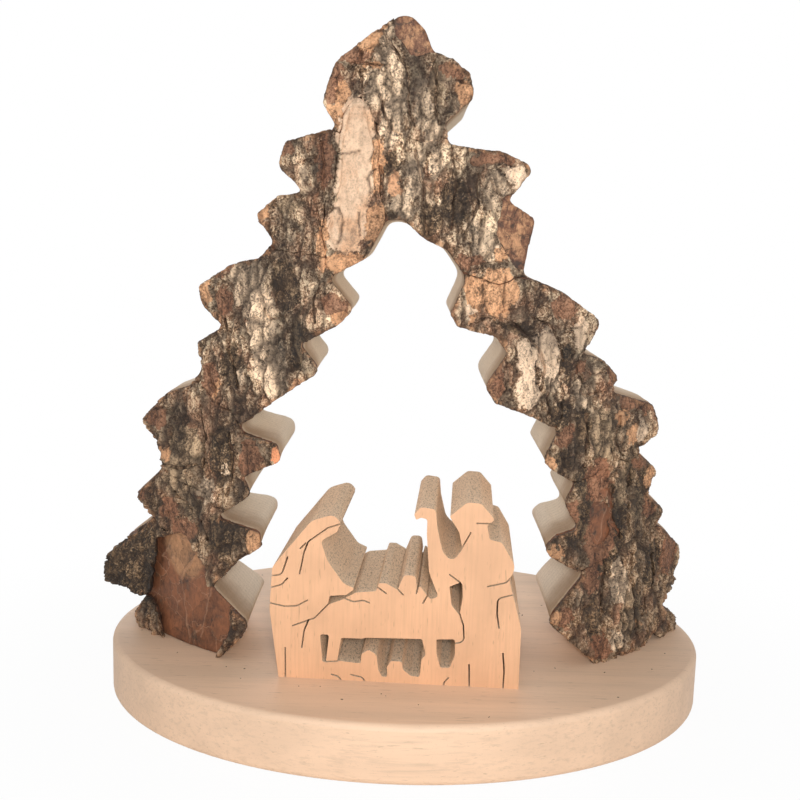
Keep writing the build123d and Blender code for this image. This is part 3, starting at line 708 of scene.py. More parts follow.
def slab_tree(back):
    """Sawn arch with corners softened as a blade and a hand leave them, sharp at the bark and the back."""
    tree, add, given = new_tree("sawn_arch", {"Saw Step": "Float"})
    place = add("GeometryNodeInputPosition")
    radius = from_log_axis(add, place)[1]
    up = add("VectorMath", (place, ALONG_Z), "DOT_PRODUCT")
    deep = add("VectorMath", (place, ALONG_Y), "DOT_PRODUCT")
    from_bark = {"From Min": UNDER_BARK - 3 * MM, "From Max": UNDER_BARK - 20 * MM}
    from_plaque = {"From Min": PLAQUE_TOP + 1 * MM, "From Max": PLAQUE_TOP + 6 * MM}
    from_back = {"From Min": back - 1.5 * MM, "From Max": back - 8 * MM, "To Min": BACK_SOFTNESS}
    inner = add("MapRange", {"Value": radius, **from_bark})
    clear = add("MapRange", {"Value": up, **from_plaque})
    before = add("MapRange", {"Value": deep, **from_back})
    worn = add("Math", (inner, clear), "MULTIPLY")
    weight = add("Math", (worn, before), "MULTIPLY")
    blur = {"Value": place, "Iterations": 5, "Weight": weight}
    soft = add("GeometryNodeBlurAttribute", blur, data_type="FLOAT_VECTOR")
    # the blade left shallow steps along its way, front to back
    along = add("VectorMath", (place, (1, 0.1, 1)), "MULTIPLY")
    steps = add("TexNoise", {"Vector": along, "Scale": 1 / (5 * MM), "Detail": 3.0})
    centred = add("Math", (steps, 0.5), "SUBTRACT")
    normal = add("GeometryNodeInputNormal")
    facing = add("VectorMath", (normal, ALONG_Y), "DOT_PRODUCT")
    beside = add("MapRange", {"Value": facing, "From Min": 0.6, "From Max": 0.2})
    on_side = add("Math", (weight, beside), "MULTIPLY")
    depth = add("Math", (centred, on_side), "MULTIPLY")
    wave = add("Math", (depth, given["Saw Step"]), "MULTIPLY")
    offset = add("VectorMath", (normal, wave), "SCALE")
    softened = {"Geometry": given["Geometry"], "Position": soft, "Offset": offset}
    moved = add("GeometryNodeSetPosition", softened)
    finish_tree(add, kept_in_box(add, moved), given["Material"])
    return tree


def crumb_tree():
    """Bark crumbs strewn on a face, none under the pieces that stand on it."""
    tree, add, given = new_tree("crumb_scatter", {
        "Density": "Float", "Size": "Float", "Seed": "Int", "Over": "Object", "Over Too": "Object",
    })
    place = add("GeometryNodeInputPosition")
    drift = add("TexNoise", {"Vector": place, "Scale": 1 / (38 * MM), "Detail": 2.0})
    heaps = add("MapRange", {"Value": drift, "From Min": 0.48, "From Max": 0.68})
    thick = add("Math", (heaps, given["Density"]), "MULTIPLY")
    strewn = {"Mesh": given["Geometry"], "Density": thick, "Seed": given["Seed"]}
    points = add("GeometryNodeDistributePointsOnFaces", strewn, out="Points")
    for cover in ("Over", "Over Too"):
        roof = add("GeometryNodeObjectInfo", {"Object": given[cover]}, out="Geometry")
        ray = {"Target Geometry": roof, "Ray Direction": ALONG_Z, "Ray Length": CRUMB_HEADROOM}
        hit = add("GeometryNodeRaycast", ray, out="Is Hit")
        points = add("GeometryNodeDeleteGeometry", {"Geometry": points, "Selection": hit}, domain="POINT")
    grain = add("GeometryNodeMeshIcoSphere", {"Radius": given["Size"], "Subdivisions": 1}, out="Mesh")
    limits = ({"Min": low, "Max": high, "Seed": given["Seed"]} for low, high in (CRUMB_TURNS, CRUMB_SCALES))
    turn, size = (add("FunctionNodeRandomValue", limit, data_type="FLOAT_VECTOR") for limit in limits)
    crumbs = add("GeometryNodeInstanceOnPoints", {
        "Points": points, "Instance": grain, "Rotation": turn, "Scale": size,
    })
    finish_tree(add, crumbs, given["Material"])
    return tree


def new_material(name):
    """Material with an empty tree, the function that adds nodes to it, and object coordinates."""
    material = bpy.data.materials.new(name)
    material.use_nodes = True
    material.node_tree.nodes.clear()
    add = partial(add_node, material.node_tree)
    return material, add, add("TexCoord", out="Object")


def surface(add, colour, roughness, height, bump, grain, **fixed):
    """Principled surface with linked colour and roughness and a bump of that grain depth."""
    normal = add("Bump", {"Height": height, "Strength": bump, "Distance": grain})
    shader = add("BsdfPrincipled", {"Base Color": colour, "Roughness": roughness, "Normal": normal, **fixed})
    add("OutputMaterial", {"Surface": shader})


def layered(add, colour, *layers):
    """A colour with others laid over it in turn, each with the share that it covers."""
    for share, over in layers:
        colour = add("Mix", {"Factor": share, "A": colour, "B": over}, data_type="RGBA")
    return colour


def shifted(colour, gain):
    """A colour made lighter or darker by a factor."""
    return tuple(min(1.0, channel * gain) for channel in colour[:3]) + (1.0,)


def tones(colour, *gains):
    """Stops of a ramp through lighter and darker tones of one colour, from rows of (place, gain)."""
    return [(place, shifted(colour, gain)) for place, gain in gains]


def read_fields(add, titles):
    """What a geometry tree stored under these names."""
    return {title: add("Attribute", out="Fac", attribute_name=title) for title in titles}


def drifted(add, coords, size, reach):
    """Coordinates bent by a noise of that size, so that cracks wander."""
    drift = add("TexNoise", {"Vector": coords, "Scale": 1 / size, "Detail": 3.0}, out="Color")
    return add("VectorMath", (drift, (reach, reach, reach), coords), "MULTIPLY_ADD")


def cracks_between(add, coords, size, width, strength=1.0):
    """Cracks between scales of that size, as wide as that share of a scale."""
    gap = add("TexVoronoi", {"Vector": coords, "Scale": 1 / size}, feature="DISTANCE_TO_EDGE")
    return add("MapRange", {"Value": gap, "From Min": width, "From Max": 0.0, "To Max": strength})


def bark_finish(bark):
    """Weathered bark: dull grey-brown fibres, hairline cracks, pale scaly plates, red scars, torn edges."""
    material, add, coords = new_material("weathered_bark")
    upright = add("Mapping", {"Vector": coords, "Scale": (1, 1, 0.5)})
    fibre = add("TexNoise", {"Vector": upright, "Scale": 1 / (1.3 * MM), "Detail": 7.0, "Roughness": 0.72})
    speck = add("TexNoise", {"Vector": coords, "Scale": 1 / (0.7 * MM), "Detail": 3.0, "Roughness": 0.65})
    cloud = add("TexNoise", {"Vector": coords, "Scale": 1 / (9 * MM), "Detail": 5.0})
    reads = read_fields(add, PATCH_KINDS + ("groove", "rim", "layer", "tone", "flake", "sunk"))

    # hairline cracks between scales about 3 mm wide and twice as tall, wandering with the fibres
    bent = drifted(add, coords, size=2.5 * MM, reach=3 * MM)
    scales = add("Mapping", {"Vector": bent, "Scale": (1, 1, 0.45)})
    thin = add("MapRange", {"Value": cloud, "From Min": 0.38, "From Max": 0.6, "To Max": 0.08})
    hairline = cracks_between(add, scales, size=3.2 * MM, width=thin)
    # plates about 8 mm wide with wider cracks between them
    plates = add("Mapping", {"Vector": bent, "Scale": (1, 1, 0.7)})
    wide = add("MapRange", {"Value": fibre, "From Min": 0.35, "From Max": 0.6, "To Max": 0.06})
    split = cracks_between(add, plates, size=8 * MM, width=wide, strength=0.9)

    # speckled ground: fibres and specks together, lighter on some ribs and flakes
    woven = add("Math", (fibre, speck), "ADD")
    toned = add("Math", (reads["tone"], 0.14, woven), "MULTIPLY_ADD")
    flaked = add("Math", (reads["flake"], 0.1, toned), "MULTIPLY_ADD")
    grain = add("MapRange", {"Value": flaked, "From Min": 0.85, "From Max": 1.27})
    dry = add("ValToRGB", {"Fac": grain}, out="Color", stops=[
        (0.12, bark.pit), (0.36, bark.brown), (0.62, bark.grey), (0.9, bark.lichen),
    ])
    # the legs are browner and have little lichen
    damp = add("ValToRGB", {"Fac": grain}, out="Color", stops=[
        (0.1, bark.pit), *tones(bark.brown, (0.4, 0.75), (0.7, 1.4)), (0.95, bark.grey),
    ])
    up = add("VectorMath", (coords, ALONG_Z), "DOT_PRODUCT")
    low = add("MapRange", {
        "Value": up, "From Min": PLAQUE_TOP + 110 * MM, "From Max": PLAQUE_TOP + 70 * MM, "To Max": 0.65,
    })
    warm = add("MapRange", {"Value": cloud, "From Min": 0.46, "From Max": 0.66, "To Max": 0.7})
    red = layered(add, shifted(bark.rust, 0.35), (grain, shifted(bark.rust, 1.8)))
    colour = layered(add, dry, (low, damp), (warm, red))

    # coloured patches, frayed by the same grain, each with a faint line of painted shade along its edge
    blotch = add("MapRange", {"Value": cloud, "From Min": 0.47, "From Max": 0.66, "To Max": 0.6})
    fray = add("Math", (fibre, 2.2, -1.1), "MULTIPLY_ADD")
    for kind, (cover, dark, middle, light) in PATCH_TONES.items():
        stops = tones(getattr(bark, kind), (0.12, dark), (0.5, middle), (0.92, light))
        own = add("ValToRGB", {"Fac": grain}, out="Color", stops=stops)
        if kind == "smooth":
            skin = layered(add, shifted(bark.tan, 0.5), (grain, shifted(bark.tan, 1.5)))
            own = layered(add, own, (blotch, skin))
        ragged = add("Math", (reads[kind], fray), "ADD")
        share = add("MapRange", {"Value": ragged, "From Min": 0.42, "From Max": 0.58, "To Max": cover})
        # painted shade: a thin line of the pit colour along the patch's edge
        painted_edge_shade = add("Math", (share, 0.4, 0.34), "COMPARE")
        faint = add("Math", (painted_edge_shade, 0.35), "MULTIPLY")
        colour = layered(add, colour, (share, own), (faint, bark.pit))

    # bright flecks, partly pale lichen and partly painted glints, and black pits about half a millimetre
    # across, fewer on the smoother patches
    smooth = reads["smooth"]
    for kind, share in (("peach", 0.8), ("fresh", 0.9), ("tan", 0.7), ("rust", 0.6), ("cream", 0.35)):
        part = add("Math", (reads[kind], share), "MULTIPLY")
        smooth = add("Math", (smooth, part), "MAXIMUM")
    covered = add("MapRange", {"Value": smooth, "To Min": 1.0, "To Max": 0.12})
    lichen_and_glint_fleck = add("MapRange", {"Value": speck, "From Min": 0.6, "From Max": 0.7, "To Max": 0.331})
    pit = add("MapRange", {"Value": speck, "From Min": 0.4, "From Max": 0.32, "To Max": 0.423})
    flecks, pits = (add("Math", (dots, covered), "MULTIPLY") for dots in (lichen_and_glint_fleck, pit))
    colour = layered(add, colour, (flecks, bark.lichen), (pits, bark.pit))

    # broad lighter and darker areas
    area = add("TexNoise", {"Vector": upright, "Scale": 1 / (10 * MM), "Detail": 3.0})
    gains = {"To Min": 0.351, "To Max": 1.577}
    broad = add("MapRange", {"Value": area, "From Min": 0.36, "From Max": 0.62, **gains})
    even = add("Mix", {"Factor": covered, "A": 1.0, "B": broad}, data_type="FLOAT")
    colour = add("VectorMath", (colour, even), "SCALE")

    # torn tan edge along parts of the outline, brown layers on the sawn sides, and dark cracks; the furrows,
    # relief cracks and low hollows are darkened too, partly as dirt and partly as painted shade
    some = add("Math", (cloud, 1.6, -1.25), "MULTIPLY_ADD")
    edge = add("Math", (reads["rim"], some), "ADD")
    edged = add("Math", (edge, fray), "ADD")
    torn = add("MapRange", {"Value": edged, "From Min": 0.35, "From Max": 0.75, "To Max": 0.85})
    torn_colour = layered(add, shifted(bark.rust, 0.7), (grain, shifted(bark.tan, 1.1)))
    sawn = add("MapRange", {"Value": reads["layer"], "From Min": 0.6, "From Max": 0.35})
    sawn_colour = layered(add, shifted(bark.rust, 0.3), (grain, bark.rust))
    # mask of the drawn cracks and of the furrows, relief cracks and low hollows, where the pit colour stands
    # partly for dirt and partly for painted shade
    hollows_dirt_and_shade = add("Math", (reads["groove"], reads["sunk"]), "MAXIMUM")
    for crack in (hairline, split):
        open_crack = add("Math", (crack, covered), "MULTIPLY")
        hollows_dirt_and_shade = add("Math", (open_crack, hollows_dirt_and_shade), "MAXIMUM")
    deep = add("MapRange", {"Value": hollows_dirt_and_shade, "From Min": 0.25, "To Max": 0.78})
    colour = layered(add, colour, (torn, torn_colour), (sawn, sawn_colour), (deep, bark.pit))
    roughness = add("MapRange", {"Value": speck, "To Min": 0.6, "To Max": 0.95})
    surface(add, colour, roughness, woven, bump=0.9, grain=0.4 * MM)
    return material


def bast_finish(bark):
    """Dry inner bark: smooth red-brown facets on the foot, scales higher up, scraps of bark and veins."""
    material, add, coords = new_material("dry_bast")
    upright = add("Mapping", {"Vector": coords, "Scale": (1, 1, 0.6)})
    cloud = add("TexNoise", {"Vector": coords, "Scale": 1 / (7 * MM), "Detail": 7.0, "Roughness": 0.65})
    fibre = add("TexNoise", {"Vector": upright, "Scale": 1 / (1.2 * MM), "Detail": 6.0, "Roughness": 0.72})
    reads = read_fields(add, ("vein", "tint", "blush", "layer"))
    mottle = add("Math", (fibre, 0.8, cloud), "MULTIPLY_ADD")
    tone = add("MapRange", {"Value": mottle, "From Min": 0.68, "From Max": 1.12})

    # skin of the foot: facets with tones of their own, some with a pale edge and some with a dark one
    bent = drifted(add, coords, size=3 * MM, reach=4 * MM)
    facet = add("TexVoronoi", {"Vector": bent, "Scale": 1 / FACET_SIZE}, out="Color")
    facet_tone, facet_kind = (
        add("VectorMath", (facet, channel), "DOT_PRODUCT") for channel in (ALONG_X, ALONG_Y)
    )
    gain = add("Math", (facet_tone, 0.5, 0.2), "MULTIPLY_ADD")
    gained = add("Math", (tone, gain), "ADD")
    plain = layered(add, bark.bast, (reads["blush"], bark.blush))
    skin = add("VectorMath", (plain, gained), "SCALE")
    ridge = cracks_between(add, bent, size=FACET_SIZE, width=0.03, strength=0.6)
    is_pale = add("Math", (facet_kind, 0.66), "GREATER_THAN")
    is_dark = add("Math", (facet_kind, 0.4), "LESS_THAN")
    pale_edge = add("Math", (ridge, is_pale), "MULTIPLY")
    dark_edge = add("Math", (ridge, is_dark), "MULTIPLY")
    ridged = layered(add, skin, (pale_edge, bark.vein), (dark_edge, bark.pit))

    # scaly skin of the bare patches higher up, with thin dark cracks between some of the 4 mm scales
    warm_stops = tones(bark.rust, (0.12, 0.3), (0.45, 1.1)) + tones(bark.tan, (0.72, 0.78), (0.96, 1.15))
    warm = add("ValToRGB", {"Fac": tone}, out="Color", stops=warm_stops)
    thin = add("MapRange", {"Value": cloud, "From Min": 0.62, "From Max": 0.42, "To Max": 0.09})
    hairline = cracks_between(add, bent, size=4.2 * MM, width=thin, strength=0.75)
    scaly = layered(add, warm, (hairline, bark.pit))

    # scraps of bark, veins, and the darker cut edge
    scraps = add("MapRange", {"Value": cloud, "From Min": 0.4, "From Max": 0.34, "To Max": 0.7})
    scrap_colour = layered(add, bark.pit, (tone, bark.grey))
    lines = add("MapRange", {"Value": reads["vein"], "From Min": 0.55, "From Max": 0.95, "To Max": 0.5})
    cut = add("MapRange", {"Value": reads["layer"], "From Min": 0.7, "From Max": 0.3, "To Max": 0.8})
    colour = layered(
        add, ridged, (reads["tint"], scaly), (scraps, scrap_colour), (lines, bark.vein),
        (cut, shifted(bark.bast, 0.3)),
    )
    roughness = add("MapRange", {"Value": cloud, "To Min": 0.5, "To Max": 0.8})
    surface(add, colour, roughness, mottle, bump=0.5, grain=0.4 * MM)
    return material


def sapwood_finish(wood):
    """Band-sawn sapwood: dull fuzzy beige with growth rings, stained brown next to the bark."""
    material, add, coords = new_material("sawn_sapwood")
    radius = from_log_axis(add, coords)[1]
    wobble = add("TexNoise", {"Vector": coords, "Scale": 1 / (9 * MM), "Detail": 5.0})
    uneven = add("Math", (wobble, 12 * MM, radius), "MULTIPLY_ADD")
    sway = add("TexNoise", {"Vector": coords, "Scale": 1 / (45 * MM), "Detail": 2.0})
    swayed = add("Math", (sway, 9 * MM, radius), "MULTIPLY_ADD")
    turns = add("Math", (swayed, GROWTH_RING), "DIVIDE")
    ring = add("Math", (turns,), "FRACT")
    late = add("MapRange", {"Value": ring, "From Min": 0.55, "To Max": 0.4})
    # fuzz drawn along the blade, which ran front to back, and pores, both coarser than real ones to show
    along = add("Mapping", {"Vector": coords, "Scale": (1, 0.06, 1)})
    fuzz = add("TexNoise", {"Vector": along, "Scale": 1 / (0.55 * MM), "Detail": 4.0, "Roughness": 0.7})
    pores = add("TexNoise", {"Vector": coords, "Scale": 1 / (0.6 * MM), "Detail": 3.0, "Roughness": 0.7})
    streak = add("MapRange", {"Value": fuzz, "From Min": 0.35, "From Max": 0.65, "To Max": 0.25})
    dots = add("MapRange", {"Value": pores, "From Min": 0.42, "From Max": 0.36, "To Max": 0.5})
    stain = add("MapRange", {
        "Value": uneven, "From Min": UNDER_BARK - 14 * MM, "From Max": UNDER_BARK + 4 * MM, "To Max": 0.72,
    }, interpolation_type="SMOOTHSTEP")
    stain_colour = layered(add, wood.sapwood_edge, (streak, shifted(wood.sapwood_edge, 0.6)))
    darker = shifted(wood.sapwood, 0.75)
    colour = layered(
        add, wood.sapwood, (late, darker), (streak, darker), (dots, shifted(wood.sapwood, 0.45)),
        (stain, stain_colour),
    )
    roughness = add("MapRange", {"Value": fuzz, "To Min": 0.75, "To Max": 0.95})
    # raised fibres of the sawn faces catch light at a low angle
    fuzzy = {"Sheen Weight": 0.2, "Sheen Roughness": 0.4, "Sheen Tint": shifted(wood.sapwood_edge, 1.6)}
    surface(add, colour, roughness, fuzz, bump=0.3, grain=0.2 * MM, **fuzzy)
    return material


def lime_finish(wood):
    """Planed lime wood: even pale cream with long faint grain lines and short darker dashes along them."""
    material, add, coords = new_material("planed_lime")
    along = add("Mapping", {"Vector": coords, "Scale": (0.05, 1, 1)})
    grain = add("TexNoise", {"Vector": along, "Scale": 1 / (1.1 * MM), "Detail": 6.0, "Roughness": 0.66})
    broad = add("TexNoise", {"Vector": along, "Scale": 1 / (9 * MM), "Detail": 3.0})
    # dashes and pores are drawn coarser than real ones, so that they show
    dashes = add("Mapping", {"Vector": coords, "Scale": (0.14, 1, 1)})
    dash = add("TexNoise", {"Vector": dashes, "Scale": 1 / (0.75 * MM), "Detail": 2.0, "Roughness": 0.5})
    pores = add("TexNoise", {"Vector": coords, "Scale": 1 / (0.5 * MM), "Detail": 2.0, "Roughness": 0.6})
    stops = tones(wood.plaque, (0.34, 0.93), (0.52, 1.0), (0.68, 1.05))
    base = add("ValToRGB", {"Fac": broad}, out="Color", stops=stops)
    up = add("VectorMath", (coords, ALONG_Z), "DOT_PRODUCT")
    lined = add("MapRange", {
        "Value": up, "From Min": PLAQUE_TOP - 0.5 * MM, "From Max": PLAQUE_TOP - 2.5 * MM,
        "To Min": 0.3, "To Max": 0.6,
    })
    faint = add("MapRange", {"Value": grain, "From Min": 0.5, "From Max": 0.7, "To Max": lined})
    marks = add("MapRange", {"Value": dash, "From Min": 0.66, "From Max": 0.74, "To Max": 0.45})
    dots = add("MapRange", {"Value": pores, "From Min": 0.36, "From Max": 0.3, "To Max": 0.25})
    colour = layered(
        add, base, (faint, shifted(wood.plaque, 0.72)), (marks, wood.plaque_dash), (dots, wood.plaque_dash)
    )
    roughness = add("MapRange", {"Value": grain, "To Min": 0.5, "To Max": 0.7})
    surface(add, colour, roughness, grain, bump=0.15, grain=0.15 * MM)
    return material


def figure_finish(wood):
    """Sanded peach-coloured front with fine upright streaks, and dull sawn sides with open pores."""
    material, add, coords = new_material("sanded_and_sawn_limewood")
    upright = add("Mapping", {"Vector": coords, "Scale": (1, 1, 0.045)})
    streak = add("TexNoise", {"Vector": upright, "Scale": 1 / (0.9 * MM), "Detail": 5.0, "Roughness": 0.6})
    cloud = add("TexNoise", {"Vector": coords, "Scale": 1 / (16 * MM), "Detail": 3.0})
    short = add("Mapping", {"Vector": coords, "Scale": (1, 1, 0.13)})
    pore = add("TexNoise", {"Vector": short, "Scale": 1 / (0.6 * MM), "Detail": 1.0, "Roughness": 0.5})
    stops = tones(wood.figure, (0.34, 0.9), (0.55, 1.0), (0.7, 1.05))
    base = add("ValToRGB", {"Fac": cloud}, out="Color", stops=stops)
    faint = add("MapRange", {"Value": streak, "From Min": 0.45, "From Max": 0.72, "To Max": 0.5})
    marks = add("MapRange", {"Value": pore, "From Min": 0.68, "From Max": 0.75, "To Max": 0.55})
    front = layered(add, base, (faint, shifted(wood.figure, 0.78)), (marks, shifted(wood.figure, 0.5)))
    # sawn sides: pores drawn along the blade, coarser than real ones, so that they show
    along = add("Mapping", {"Vector": coords, "Scale": (1, 0.3, 1)})
    fuzz = add("TexNoise", {"Vector": along, "Scale": 1 / (0.5 * MM), "Detail": 4.0, "Roughness": 0.75})
    sawn_stops = tones(wood.figure_sawn, (0.37, 0.35), (0.47, 0.86), (0.68, 1.1))
    sawn = add("ValToRGB", {"Fac": fuzz}, out="Color", stops=sawn_stops)
    normal = add("NewGeometry", out="True Normal")
    facing = add("VectorMath", (normal, BLOCK_FRONT), "DOT_PRODUCT")
    both = add("Math", (facing,), "ABSOLUTE")
    is_front = add("MapRange", {"Value": both, "From Min": 0.9, "From Max": 0.95})
    colour = layered(add, sawn, (is_front, front))
    roughness = add("MapRange", {"Value": is_front, "To Min": 0.9, "To Max": 0.5})
    depth = add("MapRange", {"Value": is_front, "To Min": 1.0, "To Max": 0.12})
    height = add("Math", (fuzz, depth), "MULTIPLY")
    # raised fibres of the sawn faces catch light at a low angle
    fuzzy = {"Sheen Weight": 0.55, "Sheen Roughness": 0.35, "Sheen Tint": wood.figure}
    surface(add, colour, roughness, height, bump=0.6, grain=0.3 * MM, **fuzzy)
    return material


def screw_finish(wood):
    """Zinc plated steel: grey metal with a soft blotchy sheen."""
    material, add, coords = new_material("zinc_plated_steel")
    cloud = add("TexNoise", {"Vector": coords, "Scale": 1 / (1.5 * MM), "Detail": 4.0})
    colour = layered(add, shifted(wood.steel, 0.75), (cloud, wood.steel))
    roughness = add("MapRange", {"Value": cloud, "To Min": 0.28, "To Max": 0.48})
    surface(add, colour, roughness, cloud, bump=0.1, grain=0.05 * MM, Metallic=1.0)
    return material


def crumb_finish(wood):
    """Crumbs of broken bark: dull, some nearly black and some tan."""
    material, add, coords = new_material("bark_crumbs")
    cloud = add("TexNoise", {"Vector": coords, "Scale": 1 / (2 * MM), "Detail": 2.0})
    stops = tones(wood.crumb, (0.4, 0.5), (0.55, 1.0), (0.7, 3.5))
    colour = add("ValToRGB", {"Fac": cloud}, out="Color", stops=stops)
    roughness = add("MapRange", {"Value": cloud, "To Min": 0.8, "To Max": 0.95})
    surface(add, colour, roughness, cloud, bump=0.2, grain=0.1 * MM)
    return material


def dress_node(node, material):
    """Gives a CAD node that is shown as it is its finish."""
    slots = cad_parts[node].data.materials
    slots.clear()
    slots.append(material)


def hand_over(piece, node):
    """A finished piece stands for its CAD node."""
    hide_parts(node)
    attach(piece, BODY)


def seen_by_camera(add):
    """1 for what the camera sees, straight, mirrored or through something clear, and 0 for light."""
    path = add("LightPath").node.outputs
    seen = add("Math", (path["Is Camera Ray"], path["Is Glossy Ray"]), "MAXIMUM")
    return add("Math", (seen, path["Is Transmission Ray"]), "MAXIMUM")


class NATIVITY_OT_bark(bpy.types.Operator):
    """Build the bark plates with their relief"""

    bl_idname = "nativity.bark"
    bl_label = "Bark plates"

    def execute(self, context):
        bark = context.scene.nativity_bark
        cracks = line_mesh("face_cracks", FACE_CRACKS)
        tree = bark_tree(cracks)
        values = sizes_from(bark, BARK_SIZES)
        values.update({"Slab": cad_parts["arch_slab"], "Material": bark_finish(bark)})
        for node in BARK_NODES:
            scratch = gridded_copy(node, bark.grid * (1))
            values["Worn Tip"] = float(node == FLAP)
            piece = baked(scratch, tree, values, node.replace("bark_", "") + "_bark")
            hand_over(piece, node)
        bpy.data.objects.remove(cracks)
        return {"FINISHED"}


class NATIVITY_OT_bast(bpy.types.Operator):
    """Build the thin bast layer under the bark"""

    bl_idname = "nativity.bast"
    bl_label = "Bast"

    def execute(self, context):
        bark = context.scene.nativity_bark
        veins = line_mesh("bast_veins", BAST_VEINS)
        scratch = gridded_copy("inner_bark", BAST_GRID * bark.grid)
        tree = bast_tree(veins)
        values = {**sizes_from(bark, BAST_SIZES), "Material": bast_finish(bark)}
        piece = baked(scratch, tree, values, "bast_layer")
        hand_over(piece, "inner_bark")
        bpy.data.objects.remove(veins)
        return {"FINISHED"}


class NATIVITY_OT_arch(bpy.types.Operator):
    """Build the sawn arch with its softened corners"""

    bl_idname = "nativity.arch"
    bl_label = "Sawn arch"

    def execute(self, context):
        wood = context.scene.nativity_wood
        scratch = gridded_copy("arch_slab", wood.arch_grid)
        tree = slab_tree(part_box("arch_slab")[1].y)
        values = {"Saw Step": wood.saw_step, "Material": sapwood_finish(wood)}
        piece = baked(scratch, tree, values, "sawn_arch")
        hand_over(piece, "arch_slab")
        return {"FINISHED"}


class NATIVITY_OT_woods(bpy.types.Operator):
    """Finish the plaque, the figure block and the screws"""

    bl_idname = "nativity.woods"
    bl_label = "Woods and screws"

    def execute(self, context):
        wood = context.scene.nativity_wood
        dress_node("base_plaque", lime_finish(wood))
        dress_node("figure_block", figure_finish(wood))
        steel = screw_finish(wood)
        dress_node("arch_screws", steel)
        dress_node("block_screws", steel)
        return {"FINISHED"}


class NATIVITY_OT_crumbs(bpy.types.Operator):
    """Strew bark crumbs on the plaque"""

    bl_idname = "nativity.crumbs"
    bl_label = "Bark crumbs"

    def execute(self, context):
        wood = context.scene.nativity_wood
        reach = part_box("base_plaque")[1] * CRUMB_FIELD
        angles = [2 * math.pi * index / CRUMB_FIELD_CORNERS for index in range(CRUMB_FIELD_CORNERS)]
        corners = [(reach.x * math.cos(angle), reach.y * math.sin(angle), PLAQUE_TOP) for angle in angles]
        mesh = bpy.data.meshes.new("crumb_field")
        mesh.from_pydata(corners, [], [range(CRUMB_FIELD_CORNERS)])
        piece = baked(new_object("crumb_field", mesh), crumb_tree(), {
            "Density": float(wood.crumb_count), "Size": wood.crumb_size, "Seed": CRUMB_SEED,
            "Over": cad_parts["arch_slab"], "Over Too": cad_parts["figure_block"],
            "Material": crumb_finish(wood),
        }, "bark_crumbs")
        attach(piece, BODY)
        return {"FINISHED"}


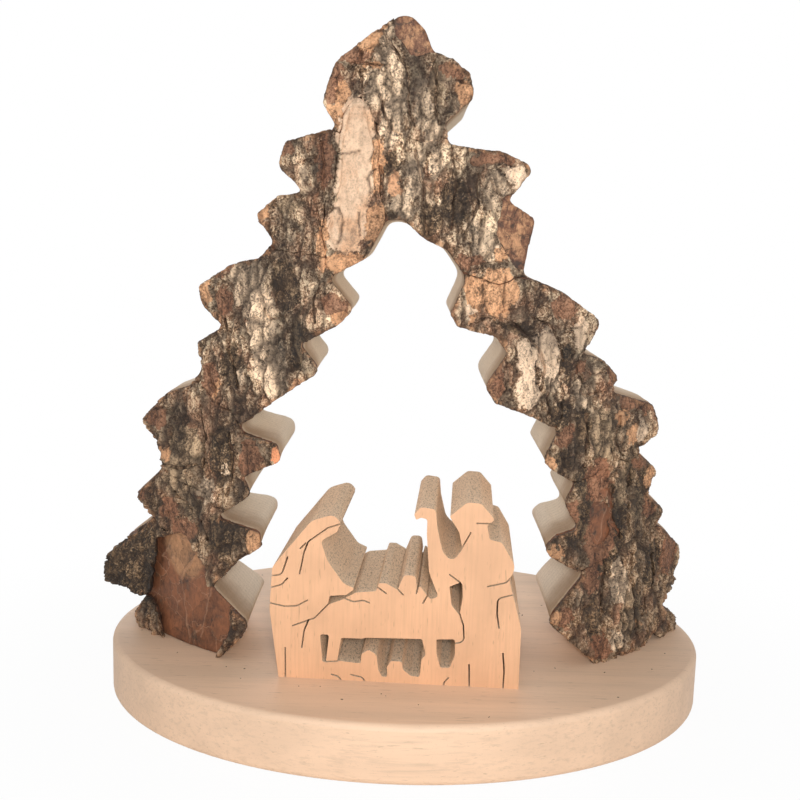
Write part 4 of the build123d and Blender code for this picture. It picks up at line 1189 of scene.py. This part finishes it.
class NATIVITY_OT_stage(bpy.types.Operator):
    """Set the floor, the lamps and the camera"""

    bl_idname = "nativity.stage"
    bl_label = "Stage"

    def execute(self, context):
        scene = context.scene
        stage = scene.nativity_stage
        scene.view_settings.view_transform = "Standard"
        self.floor(stage)
        for name, power, place, size in LAMPS:
            self.lamp(name, getattr(stage, power), place, size)
        self.sky(scene, stage)
        self.camera(scene, stage)
        return {"FINISHED"}

    def floor(self, stage):
        """Pale floor that the camera sees as white, with the object's soft shadow on it."""
        material, add, coords = new_material("pale_floor")
        matt = add("BsdfDiffuse", {"Color": stage.floor})
        glow = add("Emission", {"Color": WHITE})
        # the shadow fades out on the way to the white backdrop
        away = add("VectorMath", (coords,), "LENGTH")
        fade = {"Value": away, "From Min": SHADOW_FULL, "From Max": SHADOW_END, "To Min": SHADOW_WHITE}
        white = add("MapRange", fade, interpolation_type="SMOOTHSTEP")
        share = add("Math", (seen_by_camera(add), white), "MULTIPLY")
        add("OutputMaterial", {"Surface": add("MixShader", (share, matt, glow))})
        mesh = bpy.data.meshes.new("floor")
        signs = ((-1, -1), (1, -1), (1, 1), (-1, 1))
        corners = [(x * FLOOR_REACH, y * FLOOR_REACH, -FLOOR_DROP) for x, y in signs]
        mesh.from_pydata(corners, [], [range(len(corners))])
        mesh.materials.append(material)
        new_object("floor", mesh)

    def lamp(self, name, power, place, size):
        """Square soft lamp that shines at the middle of the object."""
        data = bpy.data.lights.new(name, "AREA")
        data.energy = power
        data.size = size
        lamp = new_object(name, data)
        lamp.location = place
        aim = (CAD_BOX[0] + CAD_BOX[1]) / 2 - Vector(place)
        lamp.rotation_euler = aim.to_track_quat("-Z", "Y").to_euler()

    def sky(self, scene, stage):
        """Even light all round, white to the camera."""
        scene.world = bpy.data.worlds.new("studio")
        scene.world.use_nodes = True
        scene.world.node_tree.nodes.clear()
        add = partial(add_node, scene.world.node_tree)
        even = add("Background", {"Color": WHITE, "Strength": stage.sky})
        white = add("Background", {"Color": WHITE, "Strength": 1.0})
        add("OutputWorld", {"Surface": add("MixShader", (seen_by_camera(add), even, white))})

    def camera(self, scene, stage):
        """Camera at the photograph's place: low, in front, tilted a little down and rolled."""
        data = bpy.data.cameras.new("camera")
        data.lens = stage.lens
        data.sensor_width = SENSOR_WIDTH
        data.clip_start = CLIP_START
        camera = new_object("camera", data)
        camera.location = CAMERA_PLACE
        forward = Vector((
            math.sin(stage.yaw) * math.cos(stage.pitch),
            math.cos(stage.yaw) * math.cos(stage.pitch),
            -math.sin(stage.pitch),
        ))
        camera.rotation_mode = "QUATERNION"
        camera.rotation_quaternion = forward.to_track_quat("-Z", "Y") @ Quaternion(ALONG_Z, stage.roll)
        scene.camera = camera


class NATIVITY_PT_panel(bpy.types.Panel):
    """Sizes, colours and build steps"""

    bl_idname = "NATIVITY_PT_panel"
    bl_label = "Nativity stable"
    bl_space_type = "VIEW_3D"
    bl_region_type = "UI"
    bl_category = "Nativity"

    def draw(self, context):
        for group in SETTINGS:
            box = self.layout.box()
            holder = getattr(context.scene, group)
            for name in holder.bl_rna.properties.keys():
                if name not in ("rna_type", "name"):
                    box.prop(holder, name)
        for operator in STEPS:
            self.layout.operator(operator.bl_idname)


SETTINGS = {"nativity_bark": NativityBark, "nativity_wood": NativityWood, "nativity_stage": NativityStage}
STEPS = (
    NATIVITY_OT_bast, NATIVITY_OT_bark, NATIVITY_OT_crumbs, NATIVITY_OT_arch, NATIVITY_OT_woods,
    NATIVITY_OT_stage,
)


def register():
    """Registers the settings, the build steps and the panel."""
    for name, group in SETTINGS.items():
        bpy.utils.register_class(group)
        setattr(bpy.types.Scene, name, PointerProperty(type=group))
    for step in STEPS:
        bpy.utils.register_class(step)
    bpy.utils.register_class(NATIVITY_PT_panel)


def unregister():
    """Takes the panel, the build steps and the settings away again."""
    bpy.utils.unregister_class(NATIVITY_PT_panel)
    for step in reversed(STEPS):
        bpy.utils.unregister_class(step)
    for name, group in SETTINGS.items():
        delattr(bpy.types.Scene, name)
        bpy.utils.unregister_class(group)


def main():
    """Builds every piece and the stage."""
    register()
    bpy.ops.nativity.bast()
    bpy.ops.nativity.bark()
    bpy.ops.nativity.crumbs()
    bpy.ops.nativity.arch()
    bpy.ops.nativity.woods()
    bpy.ops.nativity.stage()


if __name__ == "__main__":
    main()
